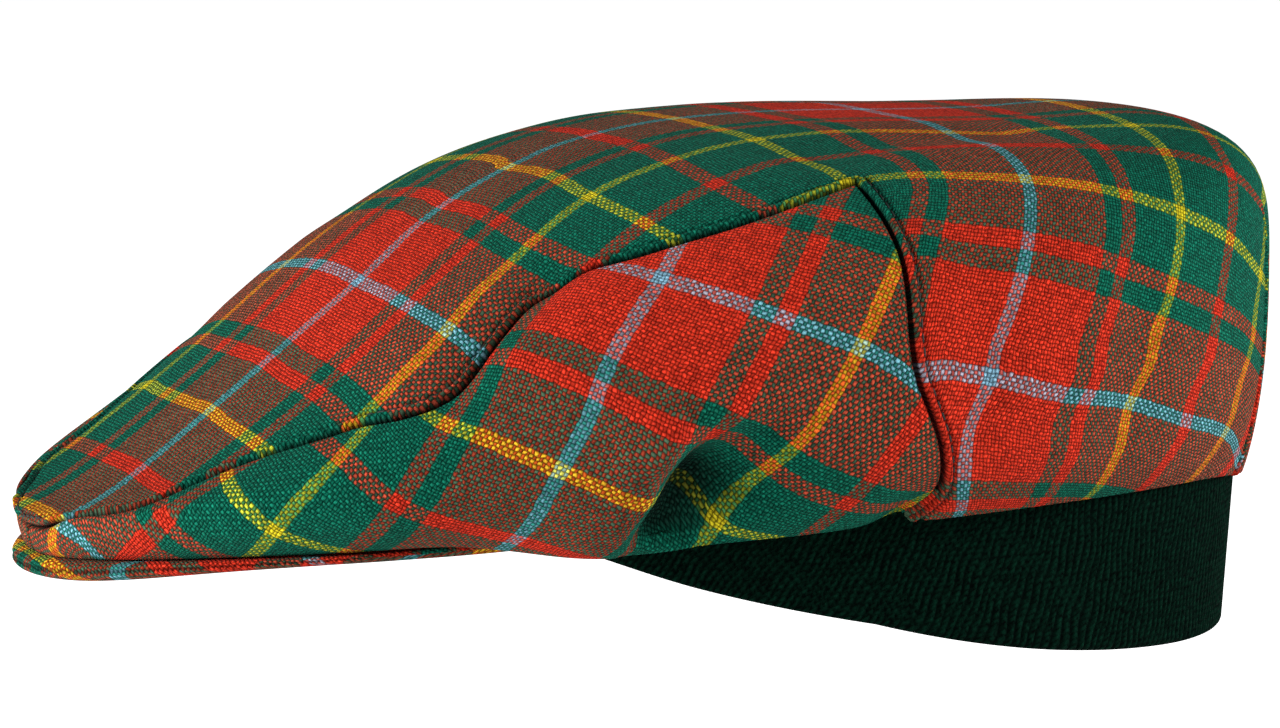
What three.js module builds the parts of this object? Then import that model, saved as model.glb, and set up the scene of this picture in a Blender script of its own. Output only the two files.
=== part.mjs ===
// Flat cap of tartan wool cloth with a ribbed knit band for the ears and neck.
// Millimetres, +Z up. The peak points along -Y and the wearer's left is +X.
// The origin is the middle of the head opening, on the plane of its rim.
//
// The cloth lies on one skin. A point of the skin has a bearing, the angle round the head in degrees
// (0 at the peak, 90 at the left ear, 180 at the back), and a share, its way along the section at that
// bearing, from 0 in the middle of the top to 1 at the rim.

import * as THREE from 'three';

// Driving sizes of the crown
const CAP = {
  halfWidth: 100,     // middle plane to the widest line of the crown
  frontLength: 162,   // origin to the crown's front end
  backLength: 117.5,  // origin to the crown's back
  rimHalfWidth: 81,
  rimFront: 160.5,
  rimBack: 115,
  rimTurn: 60,        // degrees that the wall curls in between its widest line and its rim
};

const CLOTH = { wall: 1.6, seamGap: 0.4 };

// Peak: a stiff crescent under the front rim
const PEAK = {
  endBearing: 49,
  lip: 3,             // how far its edge stands out past the rim
  clearance: 0.3,     // under the rim
  innerHalfWidth: 74, // the arc where the forehead goes
  innerDepth: 51,
  innerCentreY: -47,
  innerEndAngle: 57,
  innerHeight: -1.5,
  innerThickness: 2.4,
};

// Knit band: hangs inside the rim from temple to temple round the back
const KNIT = {
  frontBearing: 65,
  wall: 3,
  top: 11,            // upper edge, hidden inside the cap
  taper: 2.6,         // its lower edge lies this much further in
};

// Number of cells along each direction of the pieces
const CELLS = {
  frontSpokes: 48, backSpokes: 40, topRings: 10, wallRings: 12,
  peakAlong: 28, peakAcross: 6, knitAlong: 64, knitDown: 7,
};

const TARTAN = { color: 0x8a3226, roughness: 0.9, metalness: 0 };
const DARK_GREEN_KNIT = { color: 0x0c2a1f, roughness: 0.95, metalness: 0 };

// Sections of the crown by bearing: height of the widest line and of the rim, and the two powers
// that flatten the top and round the shoulder
const SECTIONS = [
  { bearing: 0, bulge: 0, rim: -8, flatness: 3.0, shoulder: 2.0 },
  { bearing: 45, bulge: 12, rim: -3, flatness: 3.2, shoulder: 1.8 },
  { bearing: 56, bulge: 16.5, rim: -1.5, flatness: 3.2, shoulder: 2.0 },
  { bearing: 67, bulge: 21, rim: -4, flatness: 3.2, shoulder: 2.2 },
  { bearing: 90, bulge: 30, rim: 0, flatness: 3.4, shoulder: 2.7 },
  { bearing: 135, bulge: 38, rim: 1.5, flatness: 4.7, shoulder: 3.9 },
  { bearing: 180, bulge: 44, rim: -4, flatness: 5.0, shoulder: 4.4 },
];

// Height of the top along the middle of the cap
const RIDGE = [
  { y: -170, height: -2 },
  { y: -150, height: 11.5 },
  { y: -120, height: 33 },
  { y: -90, height: 55 },
  { y: -60, height: 69.5 },
  { y: -30, height: 76 },
  { y: 0, height: 78 },
  { y: 60, height: 77.5 },
  { y: 90, height: 80 },
  { y: 120, height: 81 },
];

// Seam between the top and a side panel, from the centre front to the corner above the ear
const TOP_SEAM = [
  { bearing: 0, share: 0.972 },
  { bearing: 6, share: 0.966 },
  { bearing: 13, share: 0.937 },
  { bearing: 22, share: 0.908 },
  { bearing: 26, share: 0.865 },
  { bearing: 31, share: 0.832 },
  { bearing: 42, share: 0.793 },
  { bearing: 52, share: 0.747 },
  { bearing: 54, share: 0.69 },
  { bearing: 55.5, share: 0.63 },
  { bearing: 58, share: 0.605 },
  { bearing: 67, share: 0.549 },
  { bearing: 77, share: 0.505 },
  { bearing: 88, share: 0.446 },
];

// Upright seam behind the ear, from that corner down to the rim
const EAR_SEAM = [
  { share: 0.446, bearing: 88 },
  { share: 0.58, bearing: 89 },
  { share: 0.76, bearing: 89.5 },
  { share: 0.86, bearing: 92.8 },
  { share: 0.93, bearing: 94.2 },
  { share: 1, bearing: 93.7 },
];

// Folds of the left side, each along a line on the skin. Rise is how far the cloth stands out,
// below zero for a valley, and before and after are its half widths towards the front and the back.
const FOLDS = {
  sideRidge: { bearing: 68, share: 0.97, toBearing: 72.5, toShare: 0.8, rise: 2.5, before: 16, after: 5 },
  sideValley: { bearing: 71.5, share: 0.91, toBearing: 76.5, toShare: 0.81, rise: -6, before: 5, after: 22 },
  seamValley: { bearing: 52, share: 0.745, toBearing: 57, toShare: 0.6, rise: -2.5, before: 6, after: 7 },
  topPuff: { bearing: 47, share: 0.72, toBearing: 50, toShare: 0.62, rise: 2, before: 14, after: 9 },
  sidePuff: { bearing: 58, share: 0.7, toBearing: 62, toShare: 0.62, rise: 2.5, before: 9, after: 16 },
  earTuck: { bearing: 88.5, share: 0.99, toBearing: 91, toShare: 0.93, rise: -2.4, before: 8, after: 5 },
  backWave: { bearing: 97, share: 0.62, toBearing: 96, toShare: 0.85, rise: -1.6, before: 8, after: 8 },
  secondWave: { bearing: 117, share: 0.7, toBearing: 116, toShare: 0.88, rise: -1.6, before: 8, after: 8 },
  topDip: { bearing: 88, share: 0.33, toBearing: 134, toShare: 0.34, rise: -1.5, before: 11, after: 11 },
};
const FOLD_END = 9;           // how far a fold runs out past the ends of its line
const FOLD_REACH = 2;         // a fold dies away off its own plane over this many widths
const RIGHT_SIDE_FOLDS = 0.4; // the right side has the same folds, this much as high

// Thickness of the peak's edge by bearing
const PEAK_EDGE = [
  { bearing: 0, thickness: 4.6 },
  { bearing: 16, thickness: 4.4 },
  { bearing: 36, thickness: 2.4 },
  { bearing: 49, thickness: 1.4 },
];

// Knit band by bearing: height of its lower edge, and how far inside the rim line it hangs
const KNIT_HEM = [
  { bearing: 65, height: -3.5, inset: 4.4 },
  { bearing: 75, height: -12.5, inset: 4.4 },
  { bearing: 90, height: -22, inset: 4.4 },
  { bearing: 110, height: -30, inset: 3 },
  { bearing: 135, height: -34.5, inset: 2.2 },
  { bearing: 180, height: -36, inset: 2.2 },
];

const rad = THREE.MathUtils.degToRad;
const lerp = THREE.MathUtils.lerp;

/** A smooth curve through a table: gives the named columns at any value of the first one. */
function curveThrough(rows, along, columns, ending) {
  const places = rows.map((row) => row[along]);
  const values = rows.flatMap((row) => columns.map((column) => row[column]));
  const spline = new THREE.CubicInterpolant(places, values, columns.length, new Float64Array(columns.length));
  spline.settings = { endingStart: ending, endingEnd: ending };
  return (at) => {
    const found = spline.evaluate(at);
    return Object.fromEntries(columns.map((column, i) => [column, found[i]]));
  };
}

const SECTION_SIZES = ['bulge', 'rim', 'flatness', 'shoulder'];
const sectionAt = curveThrough(SECTIONS, 'bearing', SECTION_SIZES, THREE.ZeroSlopeEnding);
const ridgeAt = curveThrough(RIDGE, 'y', ['height'], THREE.ZeroCurvatureEnding);
const topSeamAt = curveThrough(TOP_SEAM, 'bearing', ['share'], THREE.ZeroCurvatureEnding);
const earSeamAt = curveThrough(EAR_SEAM, 'share', ['bearing'], THREE.ZeroCurvatureEnding);
const peakEdgeAt = curveThrough(PEAK_EDGE, 'bearing', ['thickness'], THREE.ZeroCurvatureEnding);
const knitHemAt = curveThrough(KNIT_HEM, 'bearing', ['height', 'inset'], THREE.ZeroCurvatureEnding);
const KNIT_DEPTH = -KNIT_HEM.at(-1).height;

const CORNER = TOP_SEAM.at(-1);

/** Signed bearing between -180 and 180. */
function signed(bearing) {
  return THREE.MathUtils.euclideanModulo(bearing + 180, 360) - 180;
}

/** Point on a plan of two half ellipses that meet at the ears. */
function onPlan(bearing, halfWidth, front, back) {
  const angle = rad(bearing);
  const length = Math.cos(angle) > 0 ? front : back;
  return new THREE.Vector2(halfWidth * Math.sin(angle), -length * Math.cos(angle));
}

function rimPlan(bearing) {
  return onPlan(bearing, CAP.rimHalfWidth, CAP.rimFront, CAP.rimBack);
}

/** Point of a section. Reach is 0 in the middle of the top, 1 at the widest line and 2 at the rim. */
function onSection(bearing, reach) {
  const { bulge, rim, flatness, shoulder } = sectionAt(Math.abs(signed(bearing)));
  const wide = onPlan(bearing, CAP.halfWidth, CAP.frontLength, CAP.backLength);
  const upper = Math.min(reach, 1);
  const turn = rad(CAP.rimTurn) * Math.max(reach - 1, 0);
  const curledIn = (1 - Math.cos(turn)) / (1 - Math.cos(rad(CAP.rimTurn)));
  const dropped = Math.sin(turn) / Math.sin(rad(CAP.rimTurn));
  const flat = wide.clone().multiplyScalar(upper);
  const ridge = ridgeAt(flat.y).height;
  const height = bulge + (ridge - bulge) * (1 - upper ** flatness) ** (1 / shoulder);
  flat.addScaledVector(rimPlan(bearing).sub(wide), curledIn);
  return new THREE.Vector3(flat.x, flat.y, height + (rim - bulge) * dropped);
}

// Stations along a section, closest together where the shoulder turns down
const TOP_STATIONS = 96;
const WALL_STATIONS = 24;
const CROWDING = 4; // power that crowds the stations of the top towards the widest line
const STATIONS = [];
for (let i = 0; i <= TOP_STATIONS; i++) STATIONS.push(1 - (1 - i / TOP_STATIONS) ** CROWDING);
for (let i = 1; i <= WALL_STATIONS; i++) STATIONS.push(1 + i / WALL_STATIONS);

/** Reach on the section at a bearing for a share of the section's length. */
function reachAt(bearing, share) {
  const lengths = [0];
  let last = onSection(bearing, 0);
  for (const reach of STATIONS.slice(1)) {
    const next = onSection(bearing, reach);
    lengths.push(lengths.at(-1) + next.distanceTo(last));
    last = next;
  }
  const wanted = THREE.MathUtils.clamp(share, 0, 1) * lengths.at(-1);
  const found = lengths.findIndex((length) => length >= wanted);
  const above = found < 0 ? lengths.length - 1 : Math.max(1, found);
  const between = (wanted - lengths[above - 1]) / (lengths[above] - lengths[above - 1]);
  return lerp(STATIONS[above - 1], STATIONS[above], between);
}

/** Point of the smooth skin, before its folds. */
function onSkin(bearing, share) {
  return onSection(bearing, reachAt(bearing, share));
}

const PROBE = 0.012; // step over the skin, in shares, for its normal

/** Outward normal of the smooth skin. */
function outward(bearing, share) {
  const across = share * Math.sin(rad(bearing));
  const along = -share * Math.cos(rad(bearing));
  const probe = (dx, dy) => {
    const x = across + dx;
    const y = along + dy;
    const length = Math.min(Math.hypot(x, y), 1);
    return onSkin(THREE.MathUtils.radToDeg(Math.atan2(x, -y)), length);
  };
  const overX = probe(PROBE, 0).sub(probe(-PROBE, 0));
  const overY = probe(0, PROBE).sub(probe(0, -PROBE));
  return overX.cross(overY).normalize();
}

/** The folds of one side as lines in space. */
function foldLines(side) {
  return Object.values(FOLDS).map((fold) => {
    const start = onSkin(side * fold.bearing, fold.share);
    const run = onSkin(side * fold.toBearing, fold.toShare).sub(start);
    const length = run.length();
    const lie = outward(side * (fold.bearing + fold.toBearing) / 2, (fold.share + fold.toShare) / 2);
    const towardsBack = lie.cross(run.normalize());
    if (towardsBack.y < 0) towardsBack.negate();
    const rise = side > 0 ? fold.rise : fold.rise * RIGHT_SIDE_FOLDS;
    return { ...fold, rise, start, run, length, towardsBack };
  });
}
const FOLD_LINES = [...foldLines(1), ...foldLines(-1)];

const bell = (distance, width) => Math.exp(-((distance / width) ** 2));

/** How far the folds move the cloth at a point of the smooth skin. */
function foldRise(point) {
  let rise = 0;
  for (const fold of FOLD_LINES) {
    const from = point.clone().sub(fold.start);
    const along = from.dot(fold.run);
    const past = along - THREE.MathUtils.clamp(along, 0, fold.length);
    const beside = from.dot(fold.towardsBack);
    const depth = from.addScaledVector(fold.run, -along).addScaledVector(fold.towardsBack, -beside).length();
    const width = beside < 0 ? fold.before : fold.after;
    rise += fold.rise * bell(past, FOLD_END) * bell(beside, width) * bell(depth, FOLD_REACH * width);
  }
  return rise;
}

/** Point of the cloth's outer face, and the way from there to its inner face. */
function cloth(bearing, share) {
  const point = onSkin(bearing, share);
  const normal = outward(bearing, share);
  const push = new THREE.Vector3(normal.x, normal.y, Math.max(normal.z, 0)).normalize();
  point.addScaledVector(push, foldRise(point));
  return { point, inward: normal.multiplyScalar(-CLOTH.wall) };
}

/** Closes a sheet of triangles into one solid: outer face, inner face and the walls round its edge. */
function thicken(spots, triangles) {
  const outer = spots.map((spot) => spot.point);
  const inner = spots.map((spot) => spot.point.clone().add(spot.inward));
  const positions = [...outer, ...inner].flatMap((point) => point.toArray());
  const shift = spots.length;
  const index = [];
  const edges = new Map();
  for (const [a, b, c] of triangles) {
    index.push(a, b, c, a + shift, c + shift, b + shift);
    for (const [from, to] of [[a, b], [b, c], [c, a]]) {
      const twin = `${to},${from}`;
      if (!edges.delete(twin)) edges.set(`${from},${to}`, [from, to]);
    }
  }
  for (const [from, to] of edges.values()) {
    // Both walls of a seam are split along the same diagonal, from their lower outer corner
    if (outer[from].z < outer[to].z) index.push(from, from + shift, to + shift, from, to + shift, to);
    else index.push(to, from, from + shift, to, from + shift, to + shift);
  }
  const geometry = new THREE.BufferGeometry();
  geometry.setAttribute('position', new THREE.Float32BufferAttribute(positions, 3));
  geometry.setIndex(index);
  geometry.computeVertexNormals();
  return geometry;
}

/** Triangles of a grid of spots, row by row. */
function gridTriangles(columns, rows, spotAt) {
  const triangles = [];
  for (let row = 0; row < rows; row++) {
    for (let column = 0; column < columns; column++) {
      const a = spotAt(column, row);
      const b = spotAt(column + 1, row);
      const c = spotAt(column + 1, row + 1);
      const d = spotAt(column, row + 1);
      triangles.push([a, d, c], [a, c, b]);
    }
  }
  return triangles;
}

const SWEEP = 6; // power that keeps the ear seam's lean to the columns near it
const seamShare = CLOTH.seamGap / 2 / (CAP.halfWidth + CAP.rimHalfWidth);
const seamBearing = THREE.MathUtils.radToDeg(CLOTH.seamGap / 2 / CAP.backLength);

/** Bearing of the ear seam on a row of the wall, from 0 at its top to 1 at the rim. */
function earBearing(down) {
  return earSeamAt(lerp(CORNER.share, 1, down)).bearing;
}

/** Top and back in one panel: spokes from the middle of the top, and the back wall below its corners. */
function crownPanel() {
  const spots = [cloth(0, 0)];
  const spokes = CELLS.frontSpokes + CELLS.backSpokes;
  const spokeBearing = (spoke) => (spoke <= CELLS.frontSpokes
    ? lerp(-CORNER.bearing, CORNER.bearing, spoke / CELLS.frontSpokes)
    : lerp(CORNER.bearing, 360 - CORNER.bearing, (spoke - CELLS.frontSpokes) / CELLS.backSpokes));
  for (let ring = 1; ring <= CELLS.topRings; ring++) {
    for (let spoke = 0; spoke < spokes; spoke++) {
      const bearing = spokeBearing(spoke);
      const turned = Math.abs(signed(bearing));
      const edge = (turned < CORNER.bearing ? topSeamAt(turned).share : CORNER.share) - seamShare;
      spots.push(cloth(bearing, edge * ring / CELLS.topRings));
    }
  }
  const topSpot = (spoke, ring) => (ring === 0 ? 0 : 1 + (ring - 1) * spokes + spoke % spokes);
  const wallStart = spots.length;
  for (let ring = 1; ring <= CELLS.wallRings; ring++) {
    const down = ring / CELLS.wallRings;
    const start = earBearing(down) + seamBearing;
    for (let spoke = 0; spoke <= CELLS.backSpokes; spoke++) {
      spots.push(cloth(lerp(start, 360 - start, spoke / CELLS.backSpokes), lerp(CORNER.share, 1, down)));
    }
  }
  const wallSpot = (spoke, ring) => (ring === 0
    ? topSpot(CELLS.frontSpokes + spoke, CELLS.topRings)
    : wallStart + (ring - 1) * (CELLS.backSpokes + 1) + spoke);
  const triangles = [
    ...gridTriangles(spokes, CELLS.topRings, topSpot).filter(([a, b, c]) => a !== b && b !== c && c !== a),
    ...gridTriangles(CELLS.backSpokes, CELLS.wallRings, wallSpot),
  ];
  return thicken(spots, triangles);
}

/** Side panel below the top seam, from the centre front to the ear seam. Side is 1 left and -1 right. */
function sidePanel(side) {
  const columns = CELLS.frontSpokes / 2;
  const rows = CELLS.wallRings;
  const frontBearing = THREE.MathUtils.radToDeg(CLOTH.seamGap / 2 / CAP.halfWidth);
  const spots = [];
  for (let row = 0; row <= rows; row++) {
    const down = row / rows;
    for (let column = 0; column <= columns; column++) {
      const part = column / columns;
      const spoke = CORNER.bearing * part;
      const sweep = (earBearing(down) - CORNER.bearing - seamBearing) * part ** SWEEP;
      const bearing = Math.max(spoke + sweep, frontBearing);
      const share = lerp(topSeamAt(spoke).share + seamShare, 1, down);
      spots.push(cloth(side * bearing, share));
    }
  }
  const spotAt = (column, row) => row * (columns + 1) + (side > 0 ? column : columns - column);
  return thicken(spots, gridTriangles(columns, rows, spotAt));
}

/** Peak: a crescent plate from just outside the rim to the arc of the forehead. */
function peak() {
  const spots = [];
  for (let across = 0; across <= CELLS.peakAcross; across++) {
    const inner = 1 - across / CELLS.peakAcross;
    for (let step = 0; step <= CELLS.peakAlong; step++) {
      const way = lerp(-1, 1, step / CELLS.peakAlong);
      const bearing = way * PEAK.endBearing;
      const rim = rimPlan(bearing);
      const edge = rim.clone().add(rim.clone().normalize().multiplyScalar(PEAK.lip));
      const angle = rad(way * PEAK.innerEndAngle);
      const forehead = new THREE.Vector2(
        PEAK.innerHalfWidth * Math.sin(angle), PEAK.innerCentreY - PEAK.innerDepth * Math.cos(angle));
      const flat = edge.lerp(forehead, inner);
      const rimHeight = sectionAt(Math.abs(bearing)).rim - PEAK.clearance;
      const thickness = lerp(peakEdgeAt(Math.abs(bearing)).thickness, PEAK.innerThickness, inner);
      const height = lerp(rimHeight, PEAK.innerHeight, inner ** 2);
      spots.push({
        point: new THREE.Vector3(flat.x, flat.y, height),
        inward: new THREE.Vector3(0, 0, -thickness),
      });
    }
  }
  const spotAt = (step, across) => across * (CELLS.peakAlong + 1) + step;
  return thicken(spots, gridTriangles(CELLS.peakAlong, CELLS.peakAcross, spotAt));
}

/** Ribbed band: an upright wall inside the rim, deepest at the back. */
function knitBand() {
  const spots = [];
  for (let row = 0; row <= CELLS.knitDown; row++) {
    const down = row / CELLS.knitDown;
    for (let step = 0; step <= CELLS.knitAlong; step++) {
      const bearing = lerp(KNIT.frontBearing, 360 - KNIT.frontBearing, step / CELLS.knitAlong);
      const hem = knitHemAt(Math.abs(signed(bearing)));
      const rim = rimPlan(bearing);
      const out = rim.clone().normalize();
      const height = lerp(KNIT.top, hem.height, down);
      const taper = KNIT.taper * Math.max(-height, 0) / KNIT_DEPTH;
      const flat = rim.addScaledVector(out, -hem.inset - taper);
      spots.push({
        point: new THREE.Vector3(flat.x, flat.y, height),
        inward: new THREE.Vector3(-out.x, -out.y, 0).multiplyScalar(KNIT.wall),
      });
    }
  }
  const spotAt = (step, row) => row * (CELLS.knitAlong + 1) + step;
  return thicken(spots, gridTriangles(CELLS.knitAlong, CELLS.knitDown, spotAt));
}

function piece(name, geometry, finish) {
  const mesh = new THREE.Mesh(geometry, new THREE.MeshStandardMaterial(finish));
  mesh.name = name;
  return mesh;
}

const cap = new THREE.Group();
cap.add(
  piece('crown_panel', crownPanel(), TARTAN),
  piece('side_panel_left', sidePanel(1), TARTAN),
  piece('side_panel_right', sidePanel(-1), TARTAN),
  piece('peak', peak(), TARTAN),
  piece('knit_band', knitBand(), DARK_GREEN_KNIT),
);

export default cap;
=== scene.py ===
"""A tartan flat cap with a ribbed knit ear and neck band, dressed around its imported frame.

The frame's axes are used throughout: +Z is up, -Y the front and +X the wearer's left. Tables and surfaces
are in millimetres and become metres when a mesh is made. A bearing is an angle in plan, 0 at the front and
90 at the left ear, and a share is a part of the way down a section, 0 in the middle of the top, 1 at the rim.
"""

import logging
import math
from dataclasses import dataclass
from enum import Enum
from functools import cached_property
from typing import Any

import bpy
import numpy as np
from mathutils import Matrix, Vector


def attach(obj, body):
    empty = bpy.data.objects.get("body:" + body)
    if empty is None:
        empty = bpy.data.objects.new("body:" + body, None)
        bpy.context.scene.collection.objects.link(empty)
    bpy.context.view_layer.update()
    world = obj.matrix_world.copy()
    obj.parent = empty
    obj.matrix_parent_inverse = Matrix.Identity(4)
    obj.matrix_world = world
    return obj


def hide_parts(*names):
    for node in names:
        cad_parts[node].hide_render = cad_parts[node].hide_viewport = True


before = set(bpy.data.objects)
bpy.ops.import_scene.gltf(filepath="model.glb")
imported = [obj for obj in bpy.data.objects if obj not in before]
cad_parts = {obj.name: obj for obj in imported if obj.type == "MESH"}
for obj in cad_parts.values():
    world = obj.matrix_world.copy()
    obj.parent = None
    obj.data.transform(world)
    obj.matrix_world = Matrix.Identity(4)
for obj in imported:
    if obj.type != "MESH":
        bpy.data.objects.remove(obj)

Array = np.ndarray
Table = tuple[tuple[float, ...], ...]
Place = tuple[float, float, float]
Colour = tuple[float, float, float, float]
LOG = logging.getLogger("flat_cap")
METRE = 0.001
BODY = "root"
FULL_TURN = 360.0
EVERY = slice(None)
# Width of a thread of the cloth with its share of the gaps, in millimetres
THREAD = 0.827
# Direction of the light whose sheen is painted onto the threads
GLOW = (0.23, 0.6, 0.77)
# Digits after the point, in millimetres, to which points have to agree to become one vertex
MERGE_DIGITS = 4


def curve_through(table: Table | Array, column: int, at: Array, level_ends: bool = False) -> Array:
    """Smooth curve through a table: cubic pieces whose slope at a row is the mean of the two chords there.

    Args:
        table: rows whose first number is the place along the curve.
        column: which number of a row is the value.
        at: places to read, held inside the table's ends.
        level_ends: whether the curve is level at its two ends.

    Returns:
        The value at each place.
    """
    rows = np.asarray(table, float)
    places = rows[:, 0]
    values = rows[:, column]
    chords = np.diff(values) / np.diff(places)
    first, last = (0.0, 0.0) if level_ends else (chords[0], chords[-1])
    slopes = np.concatenate([[first], (chords[1:] + chords[:-1]) / 2, [last]])
    at = np.clip(at, places[0], places[-1])
    i = np.clip(np.searchsorted(places, at, side="right") - 1, 0, len(places) - 2)
    step = places[i + 1] - places[i]
    t = (at - places[i]) / step
    return ((2 * t**3 - 3 * t**2 + 1) * values[i] + (t**3 - 2 * t**2 + t) * step * slopes[i]
            + (3 * t**2 - 2 * t**3) * values[i + 1] + (t**3 - t**2) * step * slopes[i + 1])


def graded(middle: int, near: int = 0, near_zone: float = 0.0, far: int = 0, far_zone: float = 0.0) -> Array:
    """Steps from 0 to 1 with finer zones at either end.

    Args:
        middle: cells between the zones.
        near: cells of the zone at 0.
        near_zone: width of that zone.
        far: cells of the zone at 1.
        far_zone: width of that zone.

    Returns:
        The increasing steps.
    """
    return np.concatenate([
        np.linspace(0, near_zone, near, endpoint=False),
        np.linspace(near_zone, 1 - far_zone, middle, endpoint=False),
        np.linspace(1 - far_zone, 1, max(far, 0) + 1),
    ])


def bell(distance: Array, width: Array | float) -> Array:
    """Height of a smooth bump of the given half width."""
    return np.exp(-((distance / width) ** 2))


def unit(vectors: Array) -> Array:
    """Vectors brought to length 1."""
    return vectors / np.maximum(np.linalg.norm(vectors, axis=-1, keepdims=True), 1e-9)


def linear(red: int, green: int, blue: int) -> Colour:
    """Screen colour from 0 to 255 as the linear colour that a shader takes.

    Args:
        red: red part.
        green: green part.
        blue: blue part.

    Returns:
        The colour, fully opaque.
    """
    channels = [c / 255 for c in (red, green, blue)]
    r, g, b = (c / 12.92 if c <= 0.04045 else ((c + 0.055) / 1.055) ** 2.4 for c in channels)
    return (r, g, b, 1.0)


def run_length(line: Array) -> Array:
    """Length gone along a line at each of its corners."""
    return np.concatenate([[0], np.cumsum(np.linalg.norm(np.diff(line, axis=0), axis=1))])


def distance_to(
    points: Array, line: Array, reach: float = 12.0, far: float = 99.0, batch: int = 3000,
) -> Array:
    """Distance from points to a line of short straight pieces.

    Args:
        points: places of any grid shape.
        line: corners of the line in order.
        reach: how far around the line's box a distance is worked out.
        far: what points beyond that box get instead.
        batch: about how many points are worked out at a time.

    Returns:
        The distance of each point from the nearest piece.
    """
    flat = points.reshape(-1, 3)
    found = np.full(len(flat), far)
    inside = np.all((flat > line.min(0) - reach) & (flat < line.max(0) + reach), axis=1)
    near = np.flatnonzero(inside)
    start = line[:-1]
    run = np.diff(line, axis=0)
    run_squared = np.maximum((run**2).sum(1), 1e-9)
    for part in np.array_split(near, max(1, len(near) // batch)):
        offset = flat[part, None, :] - start[None]
        along = np.clip((offset * run).sum(2) / run_squared, 0, 1)
        found[part] = np.linalg.norm(offset - along[..., None] * run, axis=2).min(1)
    return found.reshape(points.shape[:-1])


class Side(Enum):
    """The two sides of the cap, with the sign of X there."""

    LEFT = 1
    RIGHT = -1


@dataclass(frozen=True)
class Fold:
    """A ridge or valley along a line on the skin, which the right side has in a weaker form.

    It starts and ends at a bearing and share, rises by so many millimetres (below zero in a valley), and has
    a half width towards the front and another towards the back.
    """

    bearing: float
    share: float
    to_bearing: float
    to_share: float
    rise: float
    before: float
    after: float


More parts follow.
